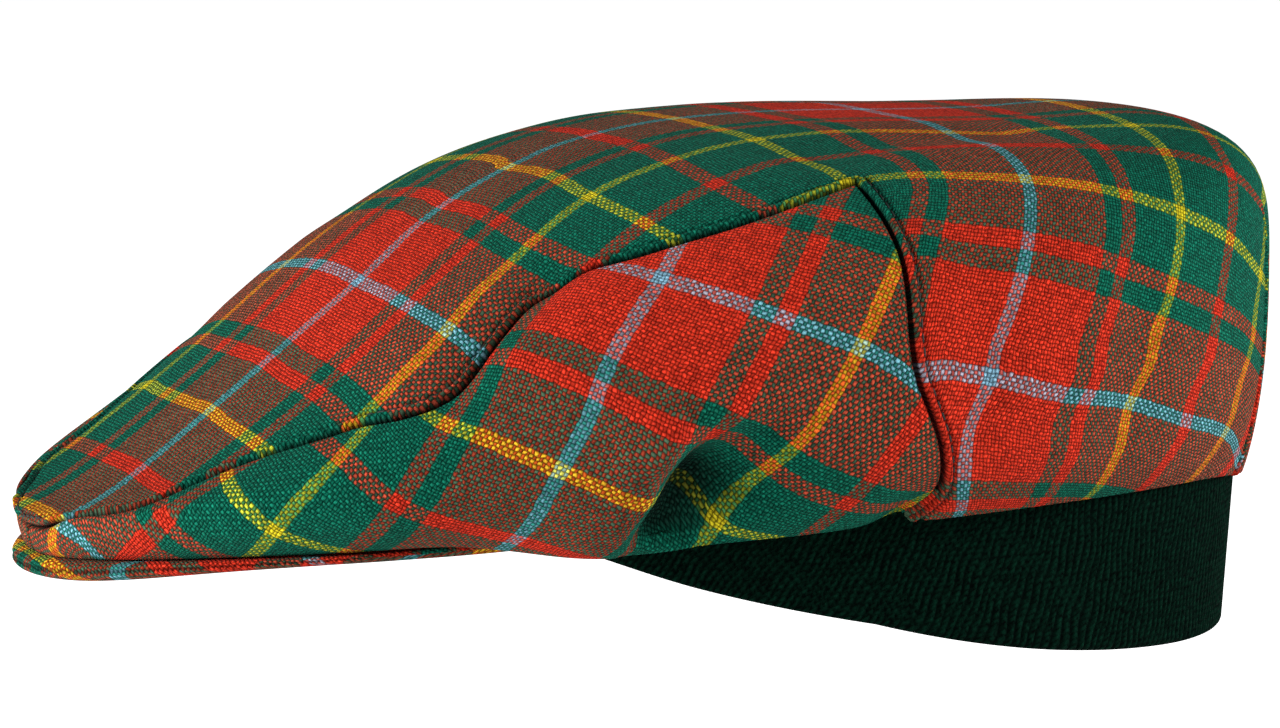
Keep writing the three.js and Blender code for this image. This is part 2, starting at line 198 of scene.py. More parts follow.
@dataclass(frozen=True)
class Skin:
    """Outer face of the cap, without its seams.

    In plan the widest line is two half ellipses that meet at the ears. A section goes from the middle of
    the top out to the widest line, where its height is the bulge plus the ridge's height above it times
    (1 - reach ** flatness) ** (1 / shoulder). Below that line it curls in, on a circle's arc, to the rim.
    """

    half_width: float = 100.0
    front: float = 162.0
    back: float = 117.5
    rim_half_width: float = 81.0
    rim_front: float = 160.5
    rim_back: float = 115.0
    rim_turn: float = 60.0
    # bearing, height of the widest line, height of the rim, flatness, shoulder
    sections: Table = (
        (0, 0, -8, 3.0, 2.0), (45, 12, -3, 3.2, 1.8), (56, 16.5, -1.5, 3.2, 2.0), (67, 21, -4, 3.2, 2.2),
        (90, 30, 0, 3.4, 2.7), (135, 38, 1.5, 4.7, 3.9), (180, 44, -4, 5.0, 4.4),
    )
    # place along Y, height of the top there
    ridge: Table = (
        (-170, -2), (-150, 11.5), (-120, 33), (-90, 55), (-60, 69.5), (-30, 76), (0, 78), (60, 77.5),
        (90, 80), (120, 81),
    )
    folds: tuple[Fold, ...] = (
        Fold(68.2, 0.985, 70.6, 0.817, 3.2, 14, 2.4), Fold(70.6, 0.817, 74.5, 0.789, 2.0, 10, 3),
        Fold(71, 0.915, 72.8, 0.85, -11, 3, 20), Fold(72.6, 0.85, 76, 0.822, -4.5, 3.5, 16),
        Fold(52, 0.745, 57, 0.6, -2.5, 6, 7), Fold(47, 0.72, 50, 0.62, 2, 14, 9),
        Fold(58, 0.7, 62, 0.62, 2.5, 9, 16), Fold(91.8, 1.0, 92.3, 0.975, -7, 8, 3.5),
        Fold(97, 0.62, 96, 0.85, -1.6, 8, 8), Fold(117, 0.7, 116, 0.88, -1.6, 8, 8),
        Fold(88, 0.33, 134, 0.34, -1.5, 11, 11),
    )
    # depths at which the painted shade in a valley starts and is darkest
    hollow: tuple[float, float] = (5.5, 10.5)
    fold_end: float = 9.0
    fold_reach: float = 2.0
    right_side: float = 0.4
    top_stations: int = 96
    wall_stations: int = 24
    crowding: int = 4
    bearing_step: float = 0.5
    share_steps: int = 400
    probe: float = 0.012

    def plan(self, bearing: Array, half_width: float, front: float, back: float) -> Array:
        """Points on a plan of two half ellipses.

        Args:
            bearing: bearings of the points.
            half_width: half the width, at the ears.
            front: length of the front half.
            back: length of the back half.

        Returns:
            X and Y of each point.
        """
        angle = np.radians(bearing)
        length = np.where(np.cos(angle) > 0, front, back)
        return np.stack([half_width * np.sin(angle), -length * np.cos(angle)], -1)

    def rim_plan(self, bearing: Array) -> Array:
        """Points of the rim in plan."""
        return self.plan(bearing, self.rim_half_width, self.rim_front, self.rim_back)

    def rim_height(self, bearing: Array) -> Array:
        """Height of the rim at a bearing."""
        return curve_through(self.sections, 2, self.turned(bearing), True)

    @staticmethod
    def turned(bearing: Array) -> Array:
        """Bearing as an angle from the front, the same on both sides."""
        return np.abs((np.asarray(bearing, float) + 180) % 360 - 180)

    def section(self, bearing: Array, reach: Array) -> Array:
        """Points of sections.

        Args:
            bearing: bearings of the points.
            reach: 0 in the middle of the top, 1 at the widest line, 2 at the rim.

        Returns:
            The points.
        """
        bearing, reach = np.broadcast_arrays(np.asarray(bearing, float), np.asarray(reach, float))
        bulge, rim, flatness, shoulder = (
            curve_through(self.sections, k, self.turned(bearing), True) for k in (1, 2, 3, 4))
        wide = self.plan(bearing, self.half_width, self.front, self.back)
        upper = np.minimum(reach, 1)
        turn = np.radians(self.rim_turn) * np.maximum(reach - 1, 0)
        curled = (1 - np.cos(turn)) / (1 - math.cos(math.radians(self.rim_turn)))
        dropped = np.sin(turn) / math.sin(math.radians(self.rim_turn))
        flat = wide * upper[..., None]
        top = curve_through(self.ridge, 1, flat[..., 1])
        height = bulge + (top - bulge) * np.maximum(1 - upper**flatness, 0) ** (1 / shoulder)
        flat = flat + (self.rim_plan(bearing) - wide) * curled[..., None]
        return np.concatenate([flat, (height + (rim - bulge) * dropped)[..., None]], -1)

    def station_reach(self, station: Array) -> Array:
        """Reach of a station along a section; stations crowd together towards the widest line.

        Args:
            station: stations, or places between two.

        Returns:
            The reach, as a section takes it.
        """
        top = np.clip(station / self.top_stations, 0, 1)
        wall = np.clip((station - self.top_stations) / self.wall_stations, 0, 1)
        return 1 - (1 - top) ** self.crowding + wall

    @cached_property
    def lengths(self) -> Array:
        """Length of the section along its stations, for each tabled bearing.

        Returns:
            A row for each bearing, with a length for each station.
        """
        bearings = np.arange(0, 180 + self.bearing_step, self.bearing_step)
        stations = np.arange(self.top_stations + self.wall_stations + 1)
        points = self.section(bearings[:, None], self.station_reach(stations)[None])
        steps = np.linalg.norm(np.diff(points, axis=1), axis=2)
        return np.concatenate([np.zeros((len(bearings), 1)), np.cumsum(steps, 1)], 1)

    @cached_property
    def stations(self) -> Array:
        """Station at even shares of each tabled section.

        Returns:
            A row for each bearing, with a station for each share.
        """
        shares = np.linspace(0, 1, self.share_steps + 1)
        stations = np.arange(self.lengths.shape[1])
        return np.stack([np.interp(shares * row[-1], row, stations) for row in self.lengths])

    def section_length(self, bearing: Array) -> Array:
        """Length of a whole section at a bearing."""
        bearings = np.arange(len(self.lengths)) * self.bearing_step
        return np.interp(self.turned(bearing), bearings, self.lengths[:, -1])

    def smooth(self, bearing: Array, share: Array) -> Array:
        """Points of the skin before its folds.

        Args:
            bearing: bearings of the points.
            share: shares of the points.

        Returns:
            The points.
        """
        bearing, share = np.broadcast_arrays(np.asarray(bearing, float), np.asarray(share, float))
        row = self.turned(bearing) / self.bearing_step
        column = np.clip(share, 0, 1) * self.share_steps
        r = np.minimum(row.astype(int), len(self.stations) - 2)
        c = np.minimum(column.astype(int), self.share_steps - 1)
        dr = row - r
        dc = column - c
        table = self.stations
        station = ((table[r, c] * (1 - dc) + table[r, c + 1] * dc) * (1 - dr)
                   + (table[r + 1, c] * (1 - dc) + table[r + 1, c + 1] * dc) * dr)
        return self.section(bearing, self.station_reach(station))

    def normal(self, bearing: Array, share: Array) -> Array:
        """Outward normals of the smooth skin, from steps across it in two directions.

        Args:
            bearing: bearings of the points.
            share: shares of the points.

        Returns:
            The normals.
        """
        bearing, share = np.broadcast_arrays(np.asarray(bearing, float), np.asarray(share, float))
        across = share * np.sin(np.radians(bearing))
        along = -share * np.cos(np.radians(bearing))

        def probe(dx: float, dy: float) -> Array:
            """Point of the skin a step away.

            Args:
                dx: step to the left, in shares.
                dy: step to the back, in shares.

            Returns:
                The point.
            """
            x = across + dx
            y = along + dy
            return self.smooth(np.degrees(np.arctan2(x, -y)), np.minimum(np.hypot(x, y), 1))

        over_x = probe(self.probe, 0) - probe(-self.probe, 0)
        over_y = probe(0, self.probe) - probe(0, -self.probe)
        return unit(np.cross(over_x, over_y))

    def fold_rise(self, points: Array, fold: Fold, side: Side) -> Array:
        """How far one fold moves the cloth: a bell across its line, fading past its ends and off its plane.

        Args:
            points: points of the smooth skin.
            fold: the fold.
            side: which side of the cap it is on.

        Returns:
            The rise at each point.
        """
        sign = side.value
        start = self.smooth(sign * fold.bearing, fold.share)
        run = self.smooth(sign * fold.to_bearing, fold.to_share) - start
        length = float(np.linalg.norm(run))
        run = run / length
        lie = self.normal(sign * (fold.bearing + fold.to_bearing) / 2, (fold.share + fold.to_share) / 2)
        to_back = np.cross(lie, run)
        to_back = to_back if to_back[1] > 0 else -to_back
        offset = points - start
        along = offset @ run
        beside = offset @ to_back
        past = along - np.clip(along, 0, length)
        depth = np.linalg.norm(offset - along[..., None] * run - beside[..., None] * to_back, axis=-1)
        width = np.where(beside < 0, fold.before, fold.after)
        rise = fold.rise * (1.0 if side is Side.LEFT else self.right_side)
        return rise * bell(past, self.fold_end) * bell(beside, width) * bell(depth, self.fold_reach * width)

    def cloth(self, bearing: Array, share: Array) -> tuple[Array, Array]:
        """Points of the skin with its folds, and the outward normals of the smooth skin there.

        Args:
            bearing: bearings of the points.
            share: shares of the points.

        Returns:
            The points and the normals.
        """
        points = self.smooth(bearing, share)
        normal = self.normal(bearing, share)
        push = unit(normal * (1, 1, 0) + np.maximum(normal * (0, 0, 1), 0))
        rise = sum(self.fold_rise(points, fold, side) for side in Side for fold in self.folds)
        return points + push * rise[..., None], normal

    def hollow_shade(self, bearing: Array, share: Array) -> Array:
        """Painted shade in the valleys that the folds sink deeply, from 0 to 1.

        Args:
            bearing: bearings of the points.
            share: shares of the points.

        Returns:
            The painted shade at each point.
        """
        points = self.smooth(bearing, share)
        sunk = sum(np.maximum(-self.fold_rise(points, fold, side), 0)
                   for side in Side for fold in self.folds if fold.rise < -self.hollow[0])
        start, darkest = self.hollow
        return np.clip((sunk - start) / (darkest - start), 0, 1)


@dataclass(frozen=True)
class Cut:
    """Where the panels of the cap are sewn to each other."""

    # bearing, share
    top_seam: Table = (
        (0, 0.972), (6, 0.966), (13, 0.937), (22, 0.908), (26, 0.865), (31, 0.832), (42, 0.793), (52, 0.747),
        (54, 0.69), (55.5, 0.63), (58, 0.605), (67, 0.549), (77, 0.505), (88, 0.446),
    )
    # share, bearing
    ear_seam: Table = ((0.446, 88), (0.58, 89), (0.76, 89.5), (0.86, 92.8), (0.93, 94.2), (1, 93.0))
    back_seam: float = 151.0
    back_start: float = 0.65
    corner_bearing: float = 88.0
    corner_share: float = 0.446
    gap: float = 0.4
    # corners of the lines that stand for the seams
    spoke_samples: int = 800
    top_cells: int = 600
    upright_points: int = 300
    front_points: int = 40

    def top_share(self, bearing: Array) -> Array:
        """Share of the top seam at a bearing."""
        return curve_through(self.top_seam, 1, Skin.turned(bearing))

    def ear_bearing(self, share: Array) -> Array:
        """Bearing of the left ear seam at a share."""
        return curve_through(self.ear_seam, 1, share)

    def gap_turn(self, radius: float) -> float:
        """The gap at a seam as an angle, so far out from the middle of the cap."""
        return math.degrees(self.gap / radius)

    def spokes(self, skin: Skin, cells: int) -> Array:
        """Bearings from the centre front to the corner, evenly spaced along the top seam.

        Args:
            skin: the cap's outer face.
            cells: steps from one end to the other.

        Returns:
            The bearings, one more than the steps.
        """
        bearings = np.linspace(0, self.corner_bearing, self.spoke_samples)
        length = run_length(skin.smooth(bearings, self.top_share(bearings)))
        return np.interp(np.linspace(0, length[-1], cells + 1), length, bearings)

    def top_line(self, skin: Skin, side: Side) -> Array:
        """The top seam of one side as a line on the cloth."""
        bearings = self.spokes(skin, self.top_cells)
        return skin.cloth(side.value * bearings, self.top_share(bearings))[0]

    def ear_line(self, skin: Skin, side: Side) -> Array:
        """The ear seam of one side as a line on the cloth."""
        shares = np.linspace(self.corner_share, 1, self.upright_points)
        return skin.cloth(side.value * self.ear_bearing(shares), shares)[0]

    def back_line(self, skin: Skin) -> Array:
        """The back seam as a line on the cloth."""
        shares = np.linspace(self.back_start, 1, self.upright_points)
        return skin.cloth(np.full(len(shares), self.back_seam), shares)[0]

    def front_line(self, skin: Skin) -> Array:
        """The centre front seam as a line on the cloth."""
        shares = np.linspace(self.top_seam[0][1], 1, self.front_points)
        return skin.cloth(np.zeros(len(shares)), shares)[0]


@dataclass(frozen=True)
class Welt:
    """How cloth is shaped at its seams, by distance from the seam line.

    The cloth dives into the seam on both sides. The panel that carries the topstitching has a padded welt
    beside the seam and a groove where the stitches pull it down.
    """

    dive: float = 1.3
    dive_width: float = 0.55
    roll: float = 0.35
    roll_width: float = 2.4
    pad: float = 0.5
    pad_place: float = 1.2
    pad_width: float = 0.8
    groove: float = 0.75
    groove_place: float = 2.25
    groove_width: float = 0.4
    # half width of the painted shade in the seam, and strength and half width of the painted shade in the
    # stitch groove
    seam_shade_width: float = 0.6
    groove_shade: float = 0.9
    groove_shade_width: float = 0.36

    def stitched(self, distance: Array) -> Array:
        """Rise of the topstitched side.

        Args:
            distance: distance from the seam.

        Returns:
            The rise in millimetres.
        """
        return (self.pad * bell(distance - self.pad_place, self.pad_width)
                - self.dive * bell(distance, self.dive_width)
                - self.groove * bell(distance - self.groove_place, self.groove_width))

    def plain(self, distance: Array) -> Array:
        """Rise of the plain side."""
        return -self.dive * bell(distance, self.dive_width) - self.roll * bell(distance, self.roll_width)

    def plain_shade(self, distance: Array) -> Array:
        """Painted shade in the seam, from 0 to 1."""
        return bell(distance, self.seam_shade_width)

    def stitched_shade(self, distance: Array) -> Array:
        """Painted shade in the seam and in the groove of the stitches, from 0 to 1."""
        groove = self.groove_shade * bell(distance - self.groove_place, self.groove_shade_width)
        return np.maximum(self.plain_shade(distance), groove)


@dataclass
class Block:
    """A regular grid of cloth: points in millimetres, normals, thread counts and painted shade at each."""

    points: Array
    normals: Array
    threads: Array
    shade: Array


@dataclass(frozen=True)
class Pin:
    """A stripe crossing: its place on the skin and the threads counted to it, None where one is unknown."""

    bearing: float
    share: float
    lengthwise: float | None
    crosswise: float | None


@dataclass(frozen=True)
class Pattern:
    """Thread counts of a panel on an even grid of shares and bearings."""

    shares: Array
    bearings: Array
    threads: Array

    def read(self, bearing: Array, share: Array) -> Array:
        """Thread counts anywhere on the panel, on a smooth curve through four grid lines each way.

        Args:
            bearing: bearings of the points.
            share: shares of the points.

        Returns:
            The lengthwise and the crosswise count at each point.
        """
        row, row_weights = self.neighbours(self.shares, share)
        column, column_weights = self.neighbours(self.bearings, bearing)
        picked = self.threads[row[..., :, None], column[..., None, :]]
        return np.einsum("...ijk,...i,...j->...k", picked, row_weights, column_weights)

    @staticmethod
    def neighbours(places: Array, at: Array) -> tuple[Array, Array]:
        """The four grid lines around each place and their weights, which add up to 1.

        Args:
            places: even places of the grid lines.
            at: places to read.

        Returns:
            The numbers of the lines and their weights.
        """
        spot = (at - places[0]) / (places[1] - places[0])
        i = np.clip(np.floor(spot).astype(int), 1, len(places) - 3)
        t = np.clip(spot - i, -1, 2)
        weights = np.stack([
            -0.5 * t + t**2 - 0.5 * t**3, 1 - 2.5 * t**2 + 1.5 * t**3,
            0.5 * t + 2 * t**2 - 1.5 * t**3, -0.5 * t**2 + 0.5 * t**3], -1)
        return i[..., None] + np.arange(-1, 3), weights


@dataclass(frozen=True)
class Flattening:
    """Lays cloth flat so that threads keep their length.

    Each pass gives every edge of a grid its true length in the direction it has, and then finds the places
    that fit all edges and pins best, which is one linear system for each thread family.
    """

    thread: float = THREAD
    diagonal: float = 0.3
    pin_pull: float = 3.0
    pin_points: int = 12
    beyond: float = 0.03
    passes: int = 60
    merge_digits: int = 3

    def lay(
        self, skin: Skin, bearings: Array, shares: Array, used: Array, open_from: float,
        pins: tuple[Pin, ...],
    ) -> Pattern:
        """Lays a panel flat.

        Args:
            skin: the cap's outer face.
            bearings: even bearings of the grid.
            shares: even shares of the grid.
            used: for each grid point, whether it is on the panel; the cloth goes on slackly beyond it.
            open_from: where the first and last bearing are one line, the share from which it is cut open.
            pins: stripe crossings that the pattern is led through.

        Returns:
            The panel's thread counts.
        """
        bearing, share = np.meshgrid(bearings, shares)
        points = skin.cloth(bearing, share)[0]
        key = np.zeros(share.shape)
        closed = math.isclose(bearings[-1] - bearings[0], FULL_TURN)
        if closed:
            points[:, -1] = points[:, 0]
            key[:, -1] = shares > open_from
        keyed = np.column_stack([np.round(points.reshape(-1, 3), self.merge_digits), key.ravel()])
        _, first, where = np.unique(keyed, axis=0, return_index=True, return_inverse=True)
        index = where.reshape(share.shape)
        points = points.reshape(-1, 3)[first]
        gone = share * skin.section_length(bearing) / self.thread
        angle = np.radians(bearing)
        guess = np.stack([gone * np.sin(angle), -gone * np.cos(angle)], -1).reshape(-1, 2)[first]
        ends, weights = self.edges(index)
        stiffness = np.where(used, 1.0, self.beyond).ravel()[first]
        weights = weights * np.sqrt(stiffness[ends[:, 0]] * stiffness[ends[:, 1]])
        length = np.linalg.norm(points[ends[:, 0]] - points[ends[:, 1]], axis=1) / self.thread
        rows, wanted = self.pin_rows(bearing, share, index, pins)
        flat = self.relax(self.turn_to(guess, rows, wanted), ends, weights, length, rows, wanted)
        joined = key[:, -1] == 0 if closed else np.zeros(len(shares), bool)
        return self.padded(shares, bearings, flat[index], joined)

    def relax(
        self, flat: Array, ends: Array, weights: Array, length: Array, rows: Array, wanted: Array,
    ) -> Array:
        """Brings a first guess to the true lengths and to the pins.

        Args:
            flat: the guess, two thread counts for each point.
            ends: the two points of each edge.
            weights: how firmly each edge keeps its length.
            length: true length of each edge, in threads.
            rows: for each pin the weights of the points around it.
            wanted: the thread counts that each pin asks for.

        Returns:
            The thread counts of the points.
        """
        first, last = ends.T
        system = np.zeros((len(flat), len(flat)))
        for a, b, sign in ((first, first, 1), (last, last, 1), (first, last, -1), (last, first, -1)):
            np.add.at(system, (a, b), sign * weights)
        held = ~np.isnan(wanted.T)
        inverse = [np.linalg.inv(system + self.pin_pull * rows[h].T @ rows[h]) for h in held]
        pull = [self.pin_pull * rows[h].T @ wanted[h, k] for k, h in enumerate(held)]
        for _ in range(self.passes):
            run = unit(flat[first] - flat[last]) * (length * weights)[:, None]
            right = np.zeros_like(flat)
            np.add.at(right, first, run)
            np.add.at(right, last, -run)
            flat = np.stack([inverse[k] @ (right[:, k] + pull[k]) for k in (0, 1)], 1)
        return flat

    @staticmethod
    def padded(shares: Array, bearings: Array, threads: Array, joined: Array) -> Pattern:
        """Pattern with two more lines on each side, taken from round the back where the cloth is joined.

        Args:
            shares: shares of the grid.
            bearings: bearings of the grid.
            threads: thread counts of the grid.
            joined: for each share, whether the first and last bearing are one line.

        Returns:
            The wider pattern.
        """
        step = bearings[1] - bearings[0]
        out = np.arange(1, 3)[None, :, None]
        before = threads[:, :1] - out[:, ::-1] * (threads[:, 1:2] - threads[:, :1])
        after = threads[:, -1:] + out * (threads[:, -1:] - threads[:, -2:-1])
        before = np.where(joined[:, None, None], threads[:, -3:-1], before)
        after = np.where(joined[:, None, None], threads[:, 1:3], after)
        wide = np.concatenate([bearings[:1] - 2 * step, bearings[:1] - step, bearings,
                               bearings[-1:] + step, bearings[-1:] + 2 * step])
        return Pattern(shares, wide, np.concatenate([before, threads, after], 1))

    def edges(self, index: Array) -> tuple[Array, Array]:
        """Edges of a grid of point numbers and their weights, along its lines and across its cells.

        Args:
            index: the grid of point numbers.

        Returns:
            The two points of each edge, and its weight.
        """
        runs = (
            (index[:-1], index[1:], 1.0), (index[:, :-1], index[:, 1:], 1.0),
            (index[:-1, :-1], index[1:, 1:], self.diagonal), (index[:-1, 1:], index[1:, :-1], self.diagonal))
        pairs = np.concatenate([np.stack([a.ravel(), b.ravel()], 1) for a, b, _ in runs])
        weights = np.concatenate([np.full(a.size, weight) for a, _, weight in runs])
        real = pairs[:, 0] != pairs[:, 1]
        return pairs[real], weights[real]

    def pin_rows(
        self, bearing: Array, share: Array, index: Array, pins: tuple[Pin, ...],
    ) -> tuple[Array, Array]:
        """For each pin the weights of the grid points around it, and the thread counts it asks for.

        Args:
            bearing: bearings of the grid points.
            share: shares of the grid points.
            index: point numbers of the grid points.
            pins: the pins.

        Returns:
            The weights, a row for each pin, and the two counts, not a number where one is unknown.
        """
        across = (share * np.sin(np.radians(bearing))).ravel()
        along = (share * np.cos(np.radians(bearing))).ravel()
        rows = np.zeros((len(pins), index.max() + 1))
        for row, pin in zip(rows, pins):
            dx = across - pin.share * math.sin(math.radians(pin.bearing))
            dy = along - pin.share * math.cos(math.radians(pin.bearing))
            near = np.argsort(dx**2 + dy**2)[:self.pin_points]
            # Weights of least size that add up to 1 and whose mean place is the pin's own
            places = np.stack([np.ones(len(near)), dx[near], dy[near]])
            np.add.at(row, index.ravel()[near], np.linalg.pinv(places) @ (1, 0, 0))
        wanted = np.array([
            [math.nan if v is None else v for v in (pin.lengthwise, pin.crosswise)] for pin in pins])
        return rows, wanted

    @staticmethod
    def turn_to(flat: Array, rows: Array, wanted: Array) -> Array:
        """First guess turned and moved onto the pins that are known both ways, by the best-fit rotation.

        Args:
            flat: the guess, two thread counts for each point.
            rows: for each pin the weights of the points around it.
            wanted: the thread counts that each pin asks for.

        Returns:
            The moved guess.
        """
        known = ~np.isnan(wanted).any(1)
        here = rows[known] @ flat
        goal = wanted[known]
        u, _, v = np.linalg.svd((here - here.mean(0)).T @ (goal - goal.mean(0)))
        return (flat - here.mean(0)) @ (u @ v) + goal.mean(0)


class Wire:
    """A socket of a shader's node tree, with the arithmetic that links new nodes to it."""

    def __init__(self, tree: bpy.types.NodeTree, socket: Any = None) -> None:
        """Wraps a socket, or only the tree where there is none yet."""
        self.tree = tree
        self.socket = socket

    def feed(self, node: bpy.types.Node, inputs: dict[Any, Any]) -> None:
        """Links or sets a node's inputs.

        Args:
            node: the node.
            inputs: wires or plain values by socket name or number.
        """
        for name, value in inputs.items():
            if isinstance(value, Wire):
                self.tree.links.new(value.socket, node.inputs[name])
            else:
                node.inputs[name].default_value = value

    def add(self, kind: str, settings: dict[str, Any], inputs: dict[Any, Any], out: Any = 0) -> "Wire":
        """Adds any node.

        Args:
            kind: the node's type.
            settings: its properties, set first.
            inputs: wires or plain values by socket name or number.
            out: the output to go on with.

        Returns:
            The wire of that output.
        """
        node = self.tree.nodes.new(kind)
        for name, value in settings.items():
            setattr(node, name, value)
        self.feed(node, inputs)
        return Wire(self.tree, node.outputs[out])

    def math(self, operation: str, *others: Any) -> "Wire":
        """Adds a Math node whose first value is this wire."""
        return self.add("ShaderNodeMath", {"operation": operation}, dict(enumerate((self, *others))))

    def mixed(self, low: Any, high: Any) -> "Wire":
        """Colour between two, by this wire."""
        return self.add("ShaderNodeMix", {"data_type": "RGBA"}, {0: self, 6: low, 7: high}, 2)

    def scaled(self, factor: Any) -> "Wire":
        """This colour times a number."""
        return self.add("ShaderNodeVectorMath", {"operation": "SCALE"}, {0: self, "Scale": factor})

    def split(self) -> tuple["Wire", "Wire"]:
        """The first two parts of this vector."""
        outputs = self.add("ShaderNodeSeparateXYZ", {}, {0: self}).socket.node.outputs
        return Wire(self.tree, outputs[0]), Wire(self.tree, outputs[1])

    def noise(self, scale: float, detail: float = 2.0) -> "Wire":
        """Smooth noise from 0 to 1 at this place."""
        return self.add("ShaderNodeTexNoise", {}, {"Vector": self, "Scale": scale, "Detail": detail})

    def spread(self, least: float, most: float) -> "Wire":
        """This value, which goes from 0 to 1, spread from the least to the most."""
        return least + self * (most - least)

    def ramp(self, stops: list[tuple[float, Colour]]) -> "Wire":
        """Colour in flat steps along this wire's value.

        Args:
            stops: where each step starts, from 0 to 1, and its colour.

        Returns:
            The wire of the colour.
        """
        node = self.tree.nodes.new("ShaderNodeValToRGB")
        node.color_ramp.interpolation = "CONSTANT"
        elements = node.color_ramp.elements
        elements.remove(elements[1])
        for i, (place, colour) in enumerate(stops):
            element = elements[0] if i == 0 else elements.new(place)
            element.position = place
            element.color = colour
        self.tree.links.new(self.socket, node.inputs[0])
        return Wire(self.tree, node.outputs[0])

    def __add__(self, other: Any) -> "Wire":
        """Sum."""
        return self.math("ADD", other)

    def __radd__(self, other: Any) -> "Wire":
        """Sum, with this second."""
        return self.math("ADD", other)

    def __sub__(self, other: Any) -> "Wire":
        """Difference."""
        return self.math("SUBTRACT", other)

    def __rsub__(self, other: float) -> "Wire":
        """Difference, with this second."""
        return self.add("ShaderNodeMath", {"operation": "SUBTRACT"}, {0: other, 1: self})

    def __mul__(self, other: Any) -> "Wire":
        """Product."""
        return self.math("MULTIPLY", other)

    def __rmul__(self, other: Any) -> "Wire":
        """Product, with this second."""
        return self.math("MULTIPLY", other)


class Surface:
    """A new material with its shader, and the things that its patterns start from."""

    bump_strength = 0.8

    def __init__(self, name: str) -> None:
        """Makes the material.

        Args:
            name: the material's name.
        """
        self.material = bpy.data.materials.new(name)
        self.material.use_nodes = True
        self.start = Wire(self.material.node_tree)

    def place(self) -> Wire:
        """Object coordinates."""
        return self.start.add("ShaderNodeTexCoord", {}, {}, "Object")

    def threads(self) -> Wire:
        """The piece's own map, which counts threads, or ribs and courses."""
        return self.start.add("ShaderNodeUVMap", {"uv_map": "threads"}, {})

    def attribute(self, name: str) -> Wire:
        """One of the piece's attributes."""
        return self.start.add("ShaderNodeAttribute", {"attribute_name": name}, {}, "Fac")

    def bump(self, height: Wire, distance: float) -> Wire:
        """Normal of a relief whose full height is so many millimetres."""
        inputs = {"Strength": self.bump_strength, "Distance": distance * METRE, "Height": height}
        return self.start.add("ShaderNodeBump", {}, inputs)

    def finish(self, inputs: dict[str, Any]) -> bpy.types.Material:
        """Links or sets the shader's inputs and gives the material."""
        self.start.feed(self.material.node_tree.nodes["Principled BSDF"], inputs)
        return self.material


class Yarn(Enum):
    """Colours of the tartan's yarns."""

    RED = linear(196, 46, 26)
    GREEN = linear(3, 92, 72)
    BLUE = linear(122, 166, 188)
    YELLOW = linear(198, 182, 30)


